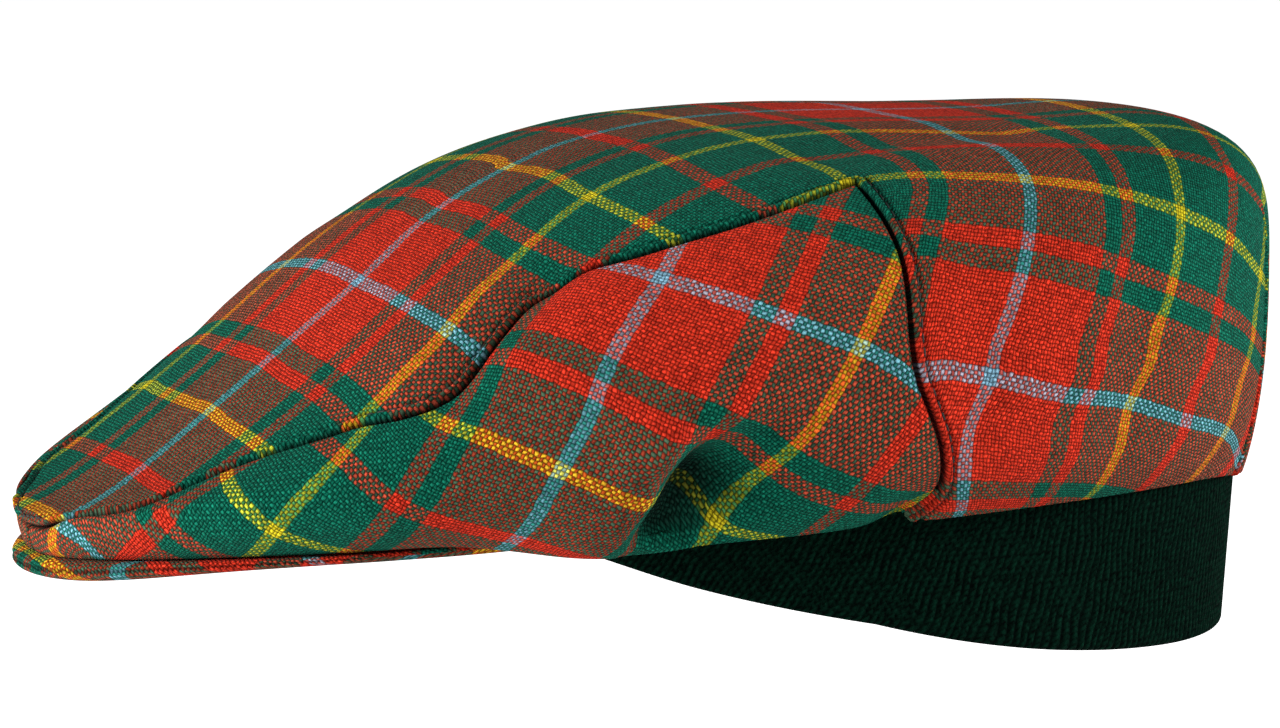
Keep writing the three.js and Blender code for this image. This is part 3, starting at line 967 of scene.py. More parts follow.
@dataclass(frozen=True)
class TartanCloth:
    """Plain-woven wool. Warp and weft carry the same stripes, mirrored about the blue and the narrow red.

    Each cell of the weave shows its warp or its weft thread as a small dome, in turns.
    """

    name: str = "tartan_wool"
    # threads of each stripe from the middle of the blue to the middle of the narrow red
    sett: tuple[tuple[Yarn, float], ...] = (
        (Yarn.BLUE, 2), (Yarn.RED, 23), (Yarn.GREEN, 6), (Yarn.RED, 5), (Yarn.GREEN, 16), (Yarn.YELLOW, 4),
        (Yarn.GREEN, 20), (Yarn.RED, 2.5),
    )
    # how far the threads wander, in threads, and how quickly
    sway: float = 0.85
    sway_scale: float = 0.45
    sway_detail: float = 1.0
    # how steeply a dome falls across its thread and along it, and its height in millimetres
    across_fall: float = 3.4
    along_fall: float = 1.8
    thread_height: float = 0.35
    # painted light in the gaps between the threads, where shade falls, and how the painted light grows with
    # the height of a dome
    gap_light: float = 0.25
    dome_light: float = 1.3
    dome_start: float = 0.36
    # painted sheen: light painted on threads that lie across the glow against those that lie along it
    sheen: float = 0.6
    # least and most light, from cell to cell, from place to place and from fibre to fibre
    speckle: tuple[float, float] = (0.7, 1.3)
    haze: tuple[float, float] = (0.85, 1.15)
    haze_scale: float = 45.0
    haze_detail: float = 3.0
    fibre: tuple[float, float] = (0.5, 1.5)
    fibre_scale: float = 3000.0
    # how much the painted shade of seams and valleys darkens the cloth
    painted_shade_strength: float = 0.85
    # how much of the thread below shows as loose fluff, and how much the two mix as pigments
    fluff: float = 0.1
    blend: float = 0.38
    # painted highlight: how much whitish glint is added, from which painted light on, and in which colour
    glint: float = 0.008
    glint_start: float = 0.6
    glint_colour: Colour = (1.0, 0.95, 0.9, 1.0)
    roughness: float = 0.92
    reflection: float = 0.03
    fuzz: float = 0.015
    fuzz_roughness: float = 0.4

    def stops(self) -> tuple[float, list[tuple[float, Colour]]]:
        """Stripes of half a repeat.

        Returns:
            The threads of half a repeat, and where along it, from 0 to 1, each colour starts.
        """
        counts = np.array([count for _, count in self.sett], float)
        starts = np.concatenate([[0], np.cumsum(counts)[:-1]]) / counts.sum()
        return counts.sum(), [(float(s), yarn.value) for s, (yarn, _) in zip(starts, self.sett)]

    def wandering(self, surface: Surface) -> tuple[Wire, Wire]:
        """Thread counts of a place, moved a little by a smooth noise.

        Args:
            surface: the material.

        Returns:
            The lengthwise and the crosswise count.
        """
        uv = surface.threads()
        inputs = {"Vector": uv, "Scale": self.sway_scale, "Detail": self.sway_detail}
        uneven = uv.add("ShaderNodeTexNoise", {"noise_dimensions": "2D"}, inputs, "Color")
        sway = uv.add("ShaderNodeVectorMath", {"operation": "SUBTRACT"}, {0: uneven, 1: (0.5, 0.5, 0.5)})
        moved = {0: sway, 1: (self.sway, self.sway, 0.0), 2: uv}
        return uv.add("ShaderNodeVectorMath", {"operation": "MULTIPLY_ADD"}, moved).split()

    def dome(self, across: Wire, along: Wire, over: Wire) -> Wire:
        """Height of the thread that shows, a parabola each way.

        Args:
            across: place in the cell from warp to warp, 0 in the middle.
            along: place in the cell from weft to weft, 0 in the middle.
            over: 1 where the warp is over the weft, and 0 where it is under it.

        Returns:
            The height, 1 in the middle.
        """
        side = across * across
        end = along * along
        turned = over * (end - side)
        return (1.0 - (end - turned) * self.across_fall) * (1.0 - (side + turned) * self.along_fall)

    def mixed(self, warp: Wire, weft: Wire, over: Wire) -> Wire:
        """Colour of the thread that shows, mixed with the one below as pigments mix and as fluff.

        Args:
            warp: colour of the warp thread.
            weft: colour of the weft thread.
            over: 1 where the warp is over the weft, and 0 where it is under it.

        Returns:
            The colour.
        """
        shown = over.mixed(weft, warp)
        hidden = over.mixed(warp, weft)
        # Pigments mix to the square root of the product of their colours
        settings = {"data_type": "RGBA", "blend_type": "MULTIPLY"}
        product = over.add("ShaderNodeMix", settings, {0: 1.0, 6: shown, 7: hidden}, 2)
        pigment = over.add("ShaderNodeGamma", {}, {0: product, 1: 0.5})
        loose = over.add("ShaderNodeMix", {"data_type": "RGBA"}, {0: self.fluff, 6: shown, 7: hidden}, 2)
        return over.add("ShaderNodeMix", {"data_type": "RGBA"}, {0: self.blend, 6: loose, 7: pigment}, 2)

    def material(self) -> bpy.types.Material:
        """The cloth's material.

        Returns:
            The material.
        """
        surface = Surface(self.name)
        place = surface.place()
        half, stops = self.stops()
        u, v = self.wandering(surface)
        column = u.math("FLOOR")
        row = v.math("FLOOR")
        warp, weft = (((k + 0.5).math("PINGPONG", half) * (1 / half)).ramp(stops) for k in (column, row))
        over = (column + row).math("FLOORED_MODULO", 2.0)
        cell = u.add("ShaderNodeCombineXYZ", {}, {0: column, 1: row})
        speckle = u.add("ShaderNodeTexWhiteNoise", {"noise_dimensions": "2D"}, {"Vector": cell})
        haze = place.noise(self.haze_scale, self.haze_detail)
        fibre = place.noise(self.fibre_scale)
        dome = self.dome(u - column - 0.5, v - row - 0.5, over)
        # Painted light and shade: each thread's dome is lighter towards its middle and shaded in the gaps
        lit = self.gap_light + (dome * self.dome_light - self.dome_start).math("MAXIMUM", 0.0)
        # Painted sheen: threads that lie across the light are lighter, those along it darker
        lit = lit * (1.0 + (over - 0.5) * surface.attribute("painted_sheen") * self.sheen)
        tone = lit * speckle.spread(*self.speckle) * haze.spread(*self.haze) * fibre.spread(*self.fibre)
        # Painted shade in the seams, stitch grooves and deep valleys
        tone = tone * (1.0 - surface.attribute("painted_shade") * self.painted_shade_strength)
        # Painted highlight: a whitish glint where the painted light on a dome is high
        glint = (lit - self.glint_start).math("MAXIMUM", 0.0) * self.glint
        return surface.finish({
            "Base Color": glint.mixed(self.mixed(warp, weft, over).scaled(tone), self.glint_colour),
            "Normal": surface.bump(dome, self.thread_height), "Roughness": self.roughness,
            "Specular IOR Level": self.reflection, "Sheen Weight": self.fuzz,
            "Sheen Roughness": self.fuzz_roughness})


@dataclass(frozen=True)
class RibKnit:
    """Dark green ribbed knit: columns of stitches on the ribs with painted light on their legs, fuzz, and
    painted shade in the grooves between.
    """

    name: str = "rib_knit"
    light: Colour = linear(5, 38, 26)
    dark: Colour = linear(0, 4, 3)
    # how far a stitch's legs slant, in courses for each rib
    leg_slant: float = 1.2
    fuzz_scale: float = 900.0
    fuzz_detail: float = 4.0
    # parts of the loops and of the fuzz in the relief and in the tone
    loop_relief: float = 0.7
    fuzz_relief: float = 0.6
    loop_tone: float = 0.3
    fuzz_tone: float = 2.2
    tone_start: float = 0.85
    stitch_height: float = 0.25
    roughness: float = 0.95
    reflection: float = 0.02

    def material(self) -> bpy.types.Material:
        """The knit's material. Its map counts ribs across and stitch courses down.

        Returns:
            The material.
        """
        surface = Surface(self.name)
        rib, course = surface.threads().split()
        across = (rib - rib.math("FLOOR") - 0.5).math("ABSOLUTE")
        leg = (course + across * self.leg_slant).math("FRACT") - 0.5
        # A parabola over each leg, 1 in its middle and 0 at its sides
        loop = 1.0 - leg * leg * 4.0
        fuzz = surface.place().noise(self.fuzz_scale, self.fuzz_detail)
        # Painted light on the middle of each leg, with random fuzz, then painted shade in the grooves between
        # the ribs
        bright = (loop * self.loop_tone + fuzz * self.fuzz_tone - self.tone_start).math("MAXIMUM", 0.0)
        tone = (1.0 - surface.attribute("painted_shade")) * bright
        return surface.finish({
            "Base Color": tone.math("MINIMUM", 1.0).mixed(self.dark, self.light),
            "Normal": surface.bump(loop * self.loop_relief + fuzz * self.fuzz_relief, self.stitch_height),
            "Roughness": self.roughness, "Specular IOR Level": self.reflection})


@dataclass(frozen=True)
class SewingThread:
    """Dark thread of the topstitching."""

    name: str = "sewing_thread"
    colour: Colour = linear(16, 20, 15)
    uneven: tuple[float, float] = (0.6, 1.4)
    uneven_scale: float = 700.0
    roughness: float = 0.7

    def material(self) -> bpy.types.Material:
        """The thread's material, a little uneven.

        Returns:
            The material.
        """
        surface = Surface(self.name)
        shade = surface.start.add("ShaderNodeRGB", {}, {})
        shade.socket.default_value = self.colour
        uneven = surface.place().noise(self.uneven_scale)
        return surface.finish({
            "Base Color": shade.scaled(uneven.spread(*self.uneven)), "Roughness": self.roughness})


@dataclass(frozen=True)
class Paper:
    """Plain pale floor that glows a little, with a painted soft shadow close below the cap, where it is
    dimmer and has no glow.
    """

    name: str = "pale_floor"
    pale: Colour = (0.9, 0.9, 0.9, 1.0)
    # colour below the cap, in its painted shadow, and the glow there, none
    dim: Colour = (0.8, 0.8, 0.8, 1.0)
    dark: Colour = (0.0, 0.0, 0.0, 1.0)
    # distances in metres over which the painted shadow fades out
    inner: float = 0.1
    outer: float = 0.5
    glow: float = 0.95

    def material(self) -> bpy.types.Material:
        """The floor's material.

        Returns:
            The material.
        """
        surface = Surface(self.name)
        x, y = surface.place().split()
        away = (x * x + y * y).math("SQRT")
        inputs = {0: away, 1: self.inner, 2: self.outer, 3: 0.0, 4: 1.0}
        lit = x.add("ShaderNodeMapRange", {"interpolation_type": "SMOOTHSTEP"}, inputs)
        # Painted shadow: dimmer and without glow close below the cap
        return surface.finish({
            "Base Color": lit.mixed(self.dim, self.pale), "Emission Color": lit.mixed(self.dark, self.pale),
            "Emission Strength": self.glow, "Roughness": 1.0, "Specular IOR Level": 0.0})


def painted_thread_sheen(block: Block) -> Array:
    """How much more the lengthwise threads catch a light from above than the crosswise ones, from -1 to 1,
    for a sheen painted into the cloth's colour.

    A thread catches the light when it lies across it. The two thread directions come from the slopes of the
    thread counts along the grid's lines, by the chain rule.

    Args:
        block: a grid of cloth.

    Returns:
        The difference at each point.
    """
    rows = np.gradient(block.points, axis=0)
    columns = np.gradient(block.points, axis=1)
    (a, b), (c, d) = (np.moveaxis(np.gradient(block.threads, axis=k), -1, 0) for k in (0, 1))
    # A step along the lengthwise thread changes only the crosswise count, and the other way round
    lengthwise = unit(c[..., None] * rows - a[..., None] * columns)
    crosswise = unit(d[..., None] * rows - b[..., None] * columns)
    glow = unit(np.array(GLOW))
    return (crosswise @ glow) ** 2 - (lengthwise @ glow) ** 2


def new_object(name: str, data: bpy.types.ID) -> bpy.types.Object:
    """A new object of the scene with the data that it shows.

    Args:
        name: the object's name.
        data: its mesh, camera or light.

    Returns:
        The object.
    """
    made = bpy.data.objects.new(name, data)
    bpy.context.scene.collection.objects.link(made)
    return made


def cells_of(block: Block, start: int) -> Array:
    """Corners of a grid's cells, as point numbers from start on, in the order that faces them outwards.

    Args:
        block: the grid.
        start: number of its first point.

    Returns:
        Four point numbers for each cell.
    """
    rows, columns = block.points.shape[:2]
    index = np.arange(start, start + rows * columns).reshape(rows, columns)
    corners = np.stack([index[:-1, :-1], index[:-1, 1:], index[1:, 1:], index[1:, :-1]], -1)
    corners = corners.reshape(-1, 4)
    p = block.points
    facing = np.cross(p[1:, 1:] - p[:-1, :-1], p[1:, :-1] - p[:-1, 1:])
    outward = (facing * block.normals[:-1, :-1]).sum()
    return corners if outward > 0 else corners[:, ::-1]


def faces_of(cells: Array, vertex: Array) -> list[Array]:
    """Faces of cells: a cell with two equal corners is a triangle, and one with more of them is left out.

    Args:
        cells: four point numbers for each cell.
        vertex: the vertex that each point becomes.

    Returns:
        Point numbers of the cells with four corners, and then of the triangles.
    """
    merged = vertex[cells]
    same = [merged[:, k] == merged[:, (k + 1) % 4] for k in range(4)]
    doubles = np.sum(same, axis=0)
    triangles = [np.delete(cells[same[k] & (doubles == 1)], k, axis=1) for k in range(4)]
    return [cells[doubles == 0], *triangles]


def grid_object(name: str, blocks: list[Block], finish: bpy.types.Material) -> bpy.types.Object:
    """One mesh object from grids that share points along their edges.

    Args:
        name: the object's name.
        blocks: the grids; equal points become one vertex.
        finish: the material.

    Returns:
        The object, smooth shaded, with the map "threads" and the attributes of painted shade and of painted
        sheen.
    """
    starts = np.cumsum([0] + [block.shade.size for block in blocks])
    cells = np.concatenate([cells_of(block, start) for block, start in zip(blocks, starts)])
    points = np.concatenate([b.points.reshape(-1, 3) for b in blocks])
    threads = np.concatenate([b.threads.reshape(-1, 2) for b in blocks])
    rounded = np.round(points, MERGE_DIGITS)
    _, first, vertex = np.unique(rounded, axis=0, return_index=True, return_inverse=True)
    vertex = vertex.ravel()
    faces = faces_of(cells, vertex)
    loops = np.concatenate([f.ravel() for f in faces])
    sizes = np.concatenate([np.full(len(f), f.shape[1]) for f in faces])
    loop_starts = np.concatenate([[0], np.cumsum(sizes)[:-1]])
    mesh = bpy.data.meshes.new(name)
    mesh.vertices.add(len(first))
    mesh.vertices.foreach_set("co", (points[first] * METRE).astype(np.float32).ravel())
    mesh.loops.add(len(loops))
    mesh.loops.foreach_set("vertex_index", vertex[loops].astype(np.int32))
    mesh.polygons.add(len(sizes))
    mesh.polygons.foreach_set("loop_start", loop_starts.astype(np.int32))
    mesh.update(calc_edges=True)
    mesh.uv_layers.new(name="threads").data.foreach_set("uv", threads[loops].astype(np.float32).ravel())
    shade = np.concatenate([b.shade.ravel() for b in blocks])
    painted_sheen = np.concatenate([painted_thread_sheen(b).ravel() for b in blocks])
    for label, values in (("painted_shade", shade), ("painted_sheen", painted_sheen)):
        attribute = mesh.attributes.new(label, "FLOAT", "POINT")
        attribute.data.foreach_set("value", values[first].astype(np.float32))
    mesh.shade_smooth()
    mesh.materials.append(finish)
    return new_object(name, mesh)


def thicken(piece: bpy.types.Object, thickness: float) -> None:
    """Gives a sheet its thickness, on its inner side.

    Args:
        piece: the sheet.
        thickness: its thickness in millimetres.
    """
    solid = piece.modifiers.new("thickness", "SOLIDIFY")
    solid.thickness = thickness * METRE
    solid.offset = -1.0
    solid.use_rim = True


@dataclass(frozen=True)
class Hem:
    """Cloth turned to the inside at the rim: half a turn of this radius, then back up inside the wall."""

    radius: float = 0.9
    turn_cells: int = 5
    rows: int = 6

    def extend(self, block: Block) -> Block:
        """Block with the hem's rows after its last row.

        Args:
            block: a grid whose last row is the rim.

        Returns:
            The longer grid.
        """
        rim = block.points[-1]
        down = unit(block.points[-1] - block.points[-3])
        out = block.normals[-1]
        out = unit(out - (out * down).sum(-1, keepdims=True) * down)
        turn = np.linspace(0, np.pi, self.turn_cells + 1)[1:, None, None]
        curl = rim + self.radius * (np.sin(turn) * down - (1 - np.cos(turn)) * out)
        curl_normal = np.cos(turn) * out + np.sin(turn) * down
        above = slice(-2, -2 - self.rows, -1)
        flat = block.points[above] - 2 * self.radius * block.normals[above]
        points = np.concatenate([block.points, curl, flat])
        normals = np.concatenate([block.normals, curl_normal, -block.normals[above]])
        threads = np.concatenate([
            block.threads, np.repeat(block.threads[-1:], self.turn_cells, 0), block.threads[above]])
        shade = np.concatenate([block.shade, np.zeros((self.turn_cells + self.rows, block.shade.shape[1]))])
        return Block(points, normals, threads, shade)


def seam_allowance(block: Block, edge: Any, before: Any, depth: float, under: float = 0.8) -> Block:
    """Strip of cloth that turns into a seam and then under the next panel, so that nothing shows through.

    Args:
        block: the panel's grid.
        edge: index of the panel's edge in the grid.
        before: index of the line next to that edge.
        depth: how far the strip goes in, in millimetres.
        under: how far it then goes on, in depths.

    Returns:
        The strip, in full painted seam shade.
    """
    line = block.points[edge]
    normal = block.normals[edge]
    across = unit(line - block.points[before])
    across = unit(across - (across * normal).sum(-1, keepdims=True) * normal)
    inside = line - depth * normal
    points = np.stack([line, (line + inside) / 2, inside, inside + under * depth * across])
    normals = np.stack([across, across, unit(across + normal), normal])
    threads = np.repeat(block.threads[edge][None], len(points), 0)
    return Block(points, normals, threads, np.ones(points.shape[:2]))


@dataclass(frozen=True)
class Drift:
    """How the threads of the soft back wander, in waves that grow away from the ears and from the top."""

    threads: float = 1.1
    lengthwise: float = 0.2
    # place along Y where the waves start, and over which length they grow to full
    start: float = -5.0
    growth: float = 25.0
    # height where the waves start, and over which drop they grow to full
    top: float = 46.0
    drop: float = 14.0
    wave_along: float = 6.0
    wave_down: float = 2.77
    phase: float = 0.34

    def at(self, points: Array) -> Array:
        """Threads to add to the two counts: a sine along Y for the lengthwise one, down Z for the other.

        Args:
            points: places on the skin.

        Returns:
            The threads to add.
        """
        _, y, z = np.moveaxis(points, -1, 0)
        swing = self.threads * np.clip((y - self.start) / self.growth, 0, 1)
        swing = swing * np.clip((self.top - z) / self.drop, 0, 1)
        return np.stack([
            self.lengthwise * swing * np.sin(y / self.wave_along),
            swing * np.sin(z / self.wave_down - self.phase)], -1)


@dataclass(frozen=True)
class CrownPanel:
    """Top and back of the cap, in one panel with a back seam, welted and topstitched along its edges."""

    skin: Skin
    cut: Cut
    welt: Welt
    hem: Hem
    flattening: Flattening
    drift: Drift = Drift()
    thickness: float = 0.8
    allowance: float = 1.9
    front_cells: int = 125
    ring_cells: int = 46
    seam_rings: int = 13
    seam_zone: float = 0.05
    wall_cells: int = 66
    wall_seam_cells: int = 12
    wall_seam_zone: float = 0.045
    wall_rows: int = 52
    pattern_spokes: int = 84
    pattern_rings: int = 25
    pattern_margin: float = 0.03
    back_stitch_start: int = 4
    back_fade: float = 0.08
    corner_slack: float = 0.01
    pins: tuple[Pin, ...] = (
        Pin(15.8, 0.530, 0, 0), Pin(48.5, 0.666, 54, 0), Pin(8.6, 0.306, 0, 54), Pin(54.3, 0.418, 54, 54),
        Pin(72.5, 0.417, 78.5, 78.5), Pin(88.2, 0.440, 103, 103), Pin(109.9, 0.507, 103, 157),
        Pin(97.3, 0.758, 157, 157), Pin(126.2, 0.622, 103, 211), Pin(116.6, 0.835, 157, 211),
        Pin(8.8, 0.734, 0, -54), Pin(-28.8, 0.772, -54, -54), Pin(15.0, 0.93, 0, None),
        Pin(134.9, 0.665, None, 235.5), Pin(125.4, 0.873, None, 235.5), Pin(99.3, 0.995, None, 157),
        Pin(115.7, 0.956, None, 211), Pin(139.4, 0.92, 157, None), Pin(44.4, 0.763, 54, None),
        Pin(150.7, 0.471, 54, 211), Pin(138.1, 0.540, 78.5, 211), Pin(143.8, 0.602, 78.5, 235.5),
    )

    @cached_property
    def seam_lines(self) -> list[Array]:
        """The top and the ear seam of the left side, and then those of the right side."""
        return [line for side in Side for line in (
            self.cut.top_line(self.skin, side), self.cut.ear_line(self.skin, side))]

    def disc(self, rings: Array, spokes: Array) -> tuple[Array, Array]:
        """Bearing and share over the top.

        Args:
            rings: parts of the way from the middle to the panel's edge.
            spokes: bearings of the columns.

        Returns:
            The bearings and the shares.
        """
        bearing, ring = np.broadcast_arrays(spokes[None], rings[:, None])
        turned = Skin.turned(bearing)
        edge = np.where(turned < self.cut.corner_bearing, self.cut.top_share(turned), self.cut.corner_share)
        length = self.skin.section_length(bearing)
        gap = np.where(turned < self.cut.corner_bearing, self.cut.gap / length, 0.0)
        return bearing, ring * (edge - gap)

    def wall(self, rows: Array, columns: Array, side: Side) -> tuple[Array, Array]:
        """Bearing and share over one side of the back, from the left ear seam to the right one.

        Args:
            rows: parts of the way down from the corner.
            columns: parts of the way between the ear seam and the back seam.
            side: which side of the back seam.

        Returns:
            The bearings and the shares.
        """
        share = self.cut.corner_share + (1 - self.cut.corner_share) * rows[:, None]
        ear = self.cut.ear_bearing(share) + self.cut.gap_turn(self.skin.back) * (rows[:, None] > 0)
        back = np.full_like(share, self.cut.back_seam)
        first, last = (ear, back) if side is Side.LEFT else (back, FULL_TURN - ear)
        return np.broadcast_arrays(first + (last - first) * columns[None], share)

    def spokes(self, columns: Array) -> Array:
        """Bearings of the top's spokes, once round from the back seam.

        Args:
            columns: parts of the way between an ear seam and the back seam.

        Returns:
            The bearings.
        """
        corner = self.cut.corner_bearing
        back = self.cut.back_seam
        front = self.cut.spokes(self.skin, self.front_cells)
        return np.concatenate([
            back + (FULL_TURN - corner - back) * columns[:-1], FULL_TURN - front[:0:-1],
            FULL_TURN + front[:-1], FULL_TURN + corner + (back - corner) * columns])

    def pattern(self) -> Pattern:
        """Thread counts over the panel, on a grid that goes once round from the back seam.

        Returns:
            The pattern.
        """
        bearings = self.cut.back_seam + np.linspace(0, FULL_TURN, self.pattern_spokes + 1)
        shares = np.linspace(0, 1, self.pattern_rings + 1)
        turned = Skin.turned(bearings)
        ahead = turned < self.cut.corner_bearing
        # Behind the corner the panel goes down to the rim and past it
        edge = np.where(ahead, self.cut.top_share(turned) + self.pattern_margin, 2.0)
        used = shares[:, None] < edge[None]
        return self.flattening.lay(self.skin, bearings, shares, used, self.cut.back_start, self.pins)

    def sewn(
        self, bearing: Array, share: Array, pattern: Pattern, ahead: float = 0.0,
    ) -> tuple[Block, list[Array], Array]:
        """A grid of the panel, shaped at its seams.

        Args:
            bearing: bearings of the grid.
            share: shares of the grid.
            pattern: thread counts over the panel.
            ahead: angle by which the pattern's own bearings are ahead.

        Returns:
            The grid, its distances from each of the seam lines, and its distance from the back seam.
        """
        points, normal = self.skin.cloth(bearing, share)
        apart = [distance_to(points, line) for line in self.seam_lines]
        distance = np.min(apart, axis=0)
        back = distance_to(points, self.cut.back_line(self.skin))
        closed = np.clip((share - self.cut.back_start) / self.back_fade, 0, 1)
        rise = self.welt.stitched(distance) + self.welt.stitched(back) * closed
        # Painted shade in the seams and in the stitch grooves
        shade = np.maximum(self.welt.stitched_shade(distance), self.welt.stitched_shade(back) * closed)
        threads = pattern.read(bearing + ahead, share) + self.drift.at(points)
        return Block(points + normal * rise[..., None], normal, threads, shade), apart, back

    def build(self, finish: bpy.types.Material) -> tuple[bpy.types.Object, list[Array]]:
        """Makes the panel.

        Args:
            finish: the cloth's material.

        Returns:
            The object, and the lines that its topstitching follows.
        """
        columns = graded(self.wall_cells, self.wall_seam_cells, self.wall_seam_zone, self.wall_seam_cells,
                         self.wall_seam_zone)
        rings = graded(self.ring_cells, far=self.seam_rings, far_zone=self.seam_zone)
        rows = np.linspace(0, 1, self.wall_rows + 1)
        spokes = self.spokes(columns)
        pattern = self.pattern()
        top, from_top, _ = self.sewn(*self.disc(rings, spokes), pattern)
        left, from_left, _ = self.sewn(*self.wall(rows, columns, Side.LEFT), pattern, FULL_TURN)
        right, from_right, from_back = self.sewn(*self.wall(rows, columns, Side.RIGHT), pattern)
        top.points[:, -1] = top.points[:, 0]
        top.normals[:, -1] = top.normals[:, 0]
        front = np.flatnonzero(Skin.turned(spokes) < self.cut.corner_bearing + self.corner_slack)
        blocks = [
            top, seam_allowance(top, (-1, front), (-2, front), self.allowance),
            self.hem.extend(left), seam_allowance(left, (EVERY, 0), (EVERY, 1), self.allowance),
            self.hem.extend(right), seam_allowance(right, (EVERY, -1), (EVERY, -2), self.allowance)]
        left_columns = left.points.swapaxes(0, 1)
        right_columns = right.points.swapaxes(0, 1)
        stitch_lines = [
            self.groove_line(from_top[0][::-1], top.points[::-1]),
            self.groove_line(from_top[2][::-1], top.points[::-1]),
            self.groove_line(from_left[1].T, left_columns),
            self.groove_line(from_right[3].T[::-1], right_columns[::-1]),
            self.groove_line(from_back.T, right_columns)[self.back_stitch_start:]]
        made = grid_object("crown", blocks, finish)
        thicken(made, self.thickness)
        return made, stitch_lines

    def groove_line(self, distance: Array, points: Array) -> Array:
        """The line of a stitch groove on a grid whose rows go away from a seam.

        Args:
            distance: distance from the seam.
            points: the cloth.

        Returns:
            For each column that reaches the groove, the point at the groove's distance.
        """
        near = distance[:-1] <= self.welt.groove_place
        crossing = near & (distance[1:] > self.welt.groove_place)
        columns = np.flatnonzero(crossing.any(0) & near[0])
        rows = crossing.argmax(0)[columns]
        low = distance[rows, columns]
        part = (self.welt.groove_place - low) / (distance[rows + 1, columns] - low)
        return points[rows, columns] + part[:, None] * (points[rows + 1, columns] - points[rows, columns])


@dataclass(frozen=True)
class SidePanel:
    """Curved side panel from the centre front to the ear seam, below the top seam."""

    skin: Skin
    cut: Cut
    welt: Welt
    hem: Hem
    flattening: Flattening
    side: Side
    thickness: float = 0.8
    allowance: float = 1.9
    columns: int = 230
    front_cells: int = 3
    front_zone: float = 0.006
    ear_cells: int = 10
    ear_zone: float = 0.025
    rows: int = 56
    seam_rows: int = 12
    seam_zone: float = 0.06
    rim_rows: int = 4
    rim_zone: float = 0.03
    # powers of the way to the ear by which the columns swing to the ear seam and keep off it
    sweep: float = 3.0
    keep_off: int = 40
    # extent of the pattern's grid, and how far past the panel it keeps the threads' length
    pattern_bearings: tuple[float, float] = (-4.0, 100.0)
    pattern_top: float = 0.42
    pattern_spokes: int = 52
    pattern_rings: int = 24
    pattern_margin: float = 0.03
    pattern_turn: float = 2.0
    pattern_front: float = 35.0
    pattern_front_fade: float = 20.0
    pattern_front_margin: float = 0.15
    pins: tuple[Pin, ...] = (
        Pin(69.1, 0.596, 0, 0), Pin(85.1, 0.705, 54, 0), Pin(62.0, 0.844, 0, 54), Pin(76.3, 0.950, 54, 54),
        Pin(60.2, 0.961, 0, 78.5), Pin(38.5, 0.937, -54, 103), Pin(43.5, 0.842, -54, None),
        Pin(51.0, 0.793, None, 54), Pin(44.3, 0.836, None, 78.5), Pin(30.9, 0.867, None, 103),
        Pin(15.4, 0.960, None, 157), Pin(65.4, 0.714, 0, None), Pin(89.0, 0.749, None, 0),
        Pin(26.8, 0.935, -78.5, 124), Pin(10, 0.967, -102, None), Pin(5, 0.97, -109, None),
        Pin(5, 1, -107.5, None), Pin(0, 0.972, -116, None), Pin(0, 1, -115, None),
    )

    def places(self, rows: Array, spokes: Array) -> tuple[Array, Array]:
        """Bearing and share over the panel.

        Columns fan out from the spokes of the top seam so that the last one follows the ear seam.

        Args:
            rows: parts of the way from the top seam to the rim.
            spokes: bearings of the columns at the top seam.

        Returns:
            The bearings and the shares.
        """
        top = self.cut.top_share(spokes)[None]
        gap = self.cut.gap / self.skin.section_length(spokes)[None]
        share = top + gap + (1 - top - gap) * rows[:, None]
        way = spokes[None] / self.cut.corner_bearing
        swing = (self.cut.ear_bearing(share) - self.cut.ear_bearing(top)) * way**self.sweep
        edge = self.cut.gap_turn(self.skin.back) * way**self.keep_off
        bearing = np.maximum(spokes[None] + swing - edge, self.cut.gap_turn(self.skin.half_width))
        return self.side.value * bearing, share

    def pattern(self) -> Pattern:
        """Thread counts over the left panel, which the right one mirrors.

        Returns:
            The pattern.
        """
        bearings = np.linspace(*self.pattern_bearings, self.pattern_spokes + 1)
        shares = np.linspace(self.pattern_top, 1, self.pattern_rings + 1)
        front = np.clip((self.pattern_front - bearings) / self.pattern_front_fade, 0, 1)
        margin = self.pattern_margin + self.pattern_front_margin * front
        ear = self.cut.ear_bearing(shares)[:, None] + self.pattern_turn
        used = (shares[:, None] > (self.cut.top_share(bearings) - margin)[None]) & (bearings[None] < ear)
        return self.flattening.lay(self.skin, bearings, shares, used, 1.0, self.pins)

    def build(self, pattern: Pattern, finish: bpy.types.Material) -> bpy.types.Object:
        """Makes the panel.

        Args:
            pattern: thread counts over the left panel.
            finish: the cloth's material.

        Returns:
            The object.
        """
        seam = self.cut.spokes(self.skin, self.cut.top_cells)
        even = graded(self.columns, self.front_cells, self.front_zone, self.ear_cells, self.ear_zone)
        spokes = np.interp(even, np.linspace(0, 1, len(seam)), seam)
        rows = graded(self.rows, self.seam_rows, self.seam_zone, self.rim_rows, self.rim_zone)
        bearing, share = self.places(rows, spokes)
        points, normal = self.skin.cloth(bearing, share)
        lines = (self.cut.top_line(self.skin, self.side), self.cut.ear_line(self.skin, self.side),
                 self.cut.front_line(self.skin))
        distance = np.min([distance_to(points, line) for line in lines], axis=0)
        moved = points + normal * self.welt.plain(distance)[..., None]
        # Painted shade in the seams and in the deep valleys
        shade = np.maximum(self.welt.plain_shade(distance), self.skin.hollow_shade(bearing, share))
        block = Block(moved, normal, pattern.read(np.abs(bearing), share), shade)
        top = seam_allowance(block, 0, 1, self.allowance)
        ear = seam_allowance(block, (EVERY, -1), (EVERY, -2), self.allowance)
        made = grid_object(f"side_{self.side.name.lower()}", [self.hem.extend(block), top, ear], finish)
        thicken(made, self.thickness)
        return made


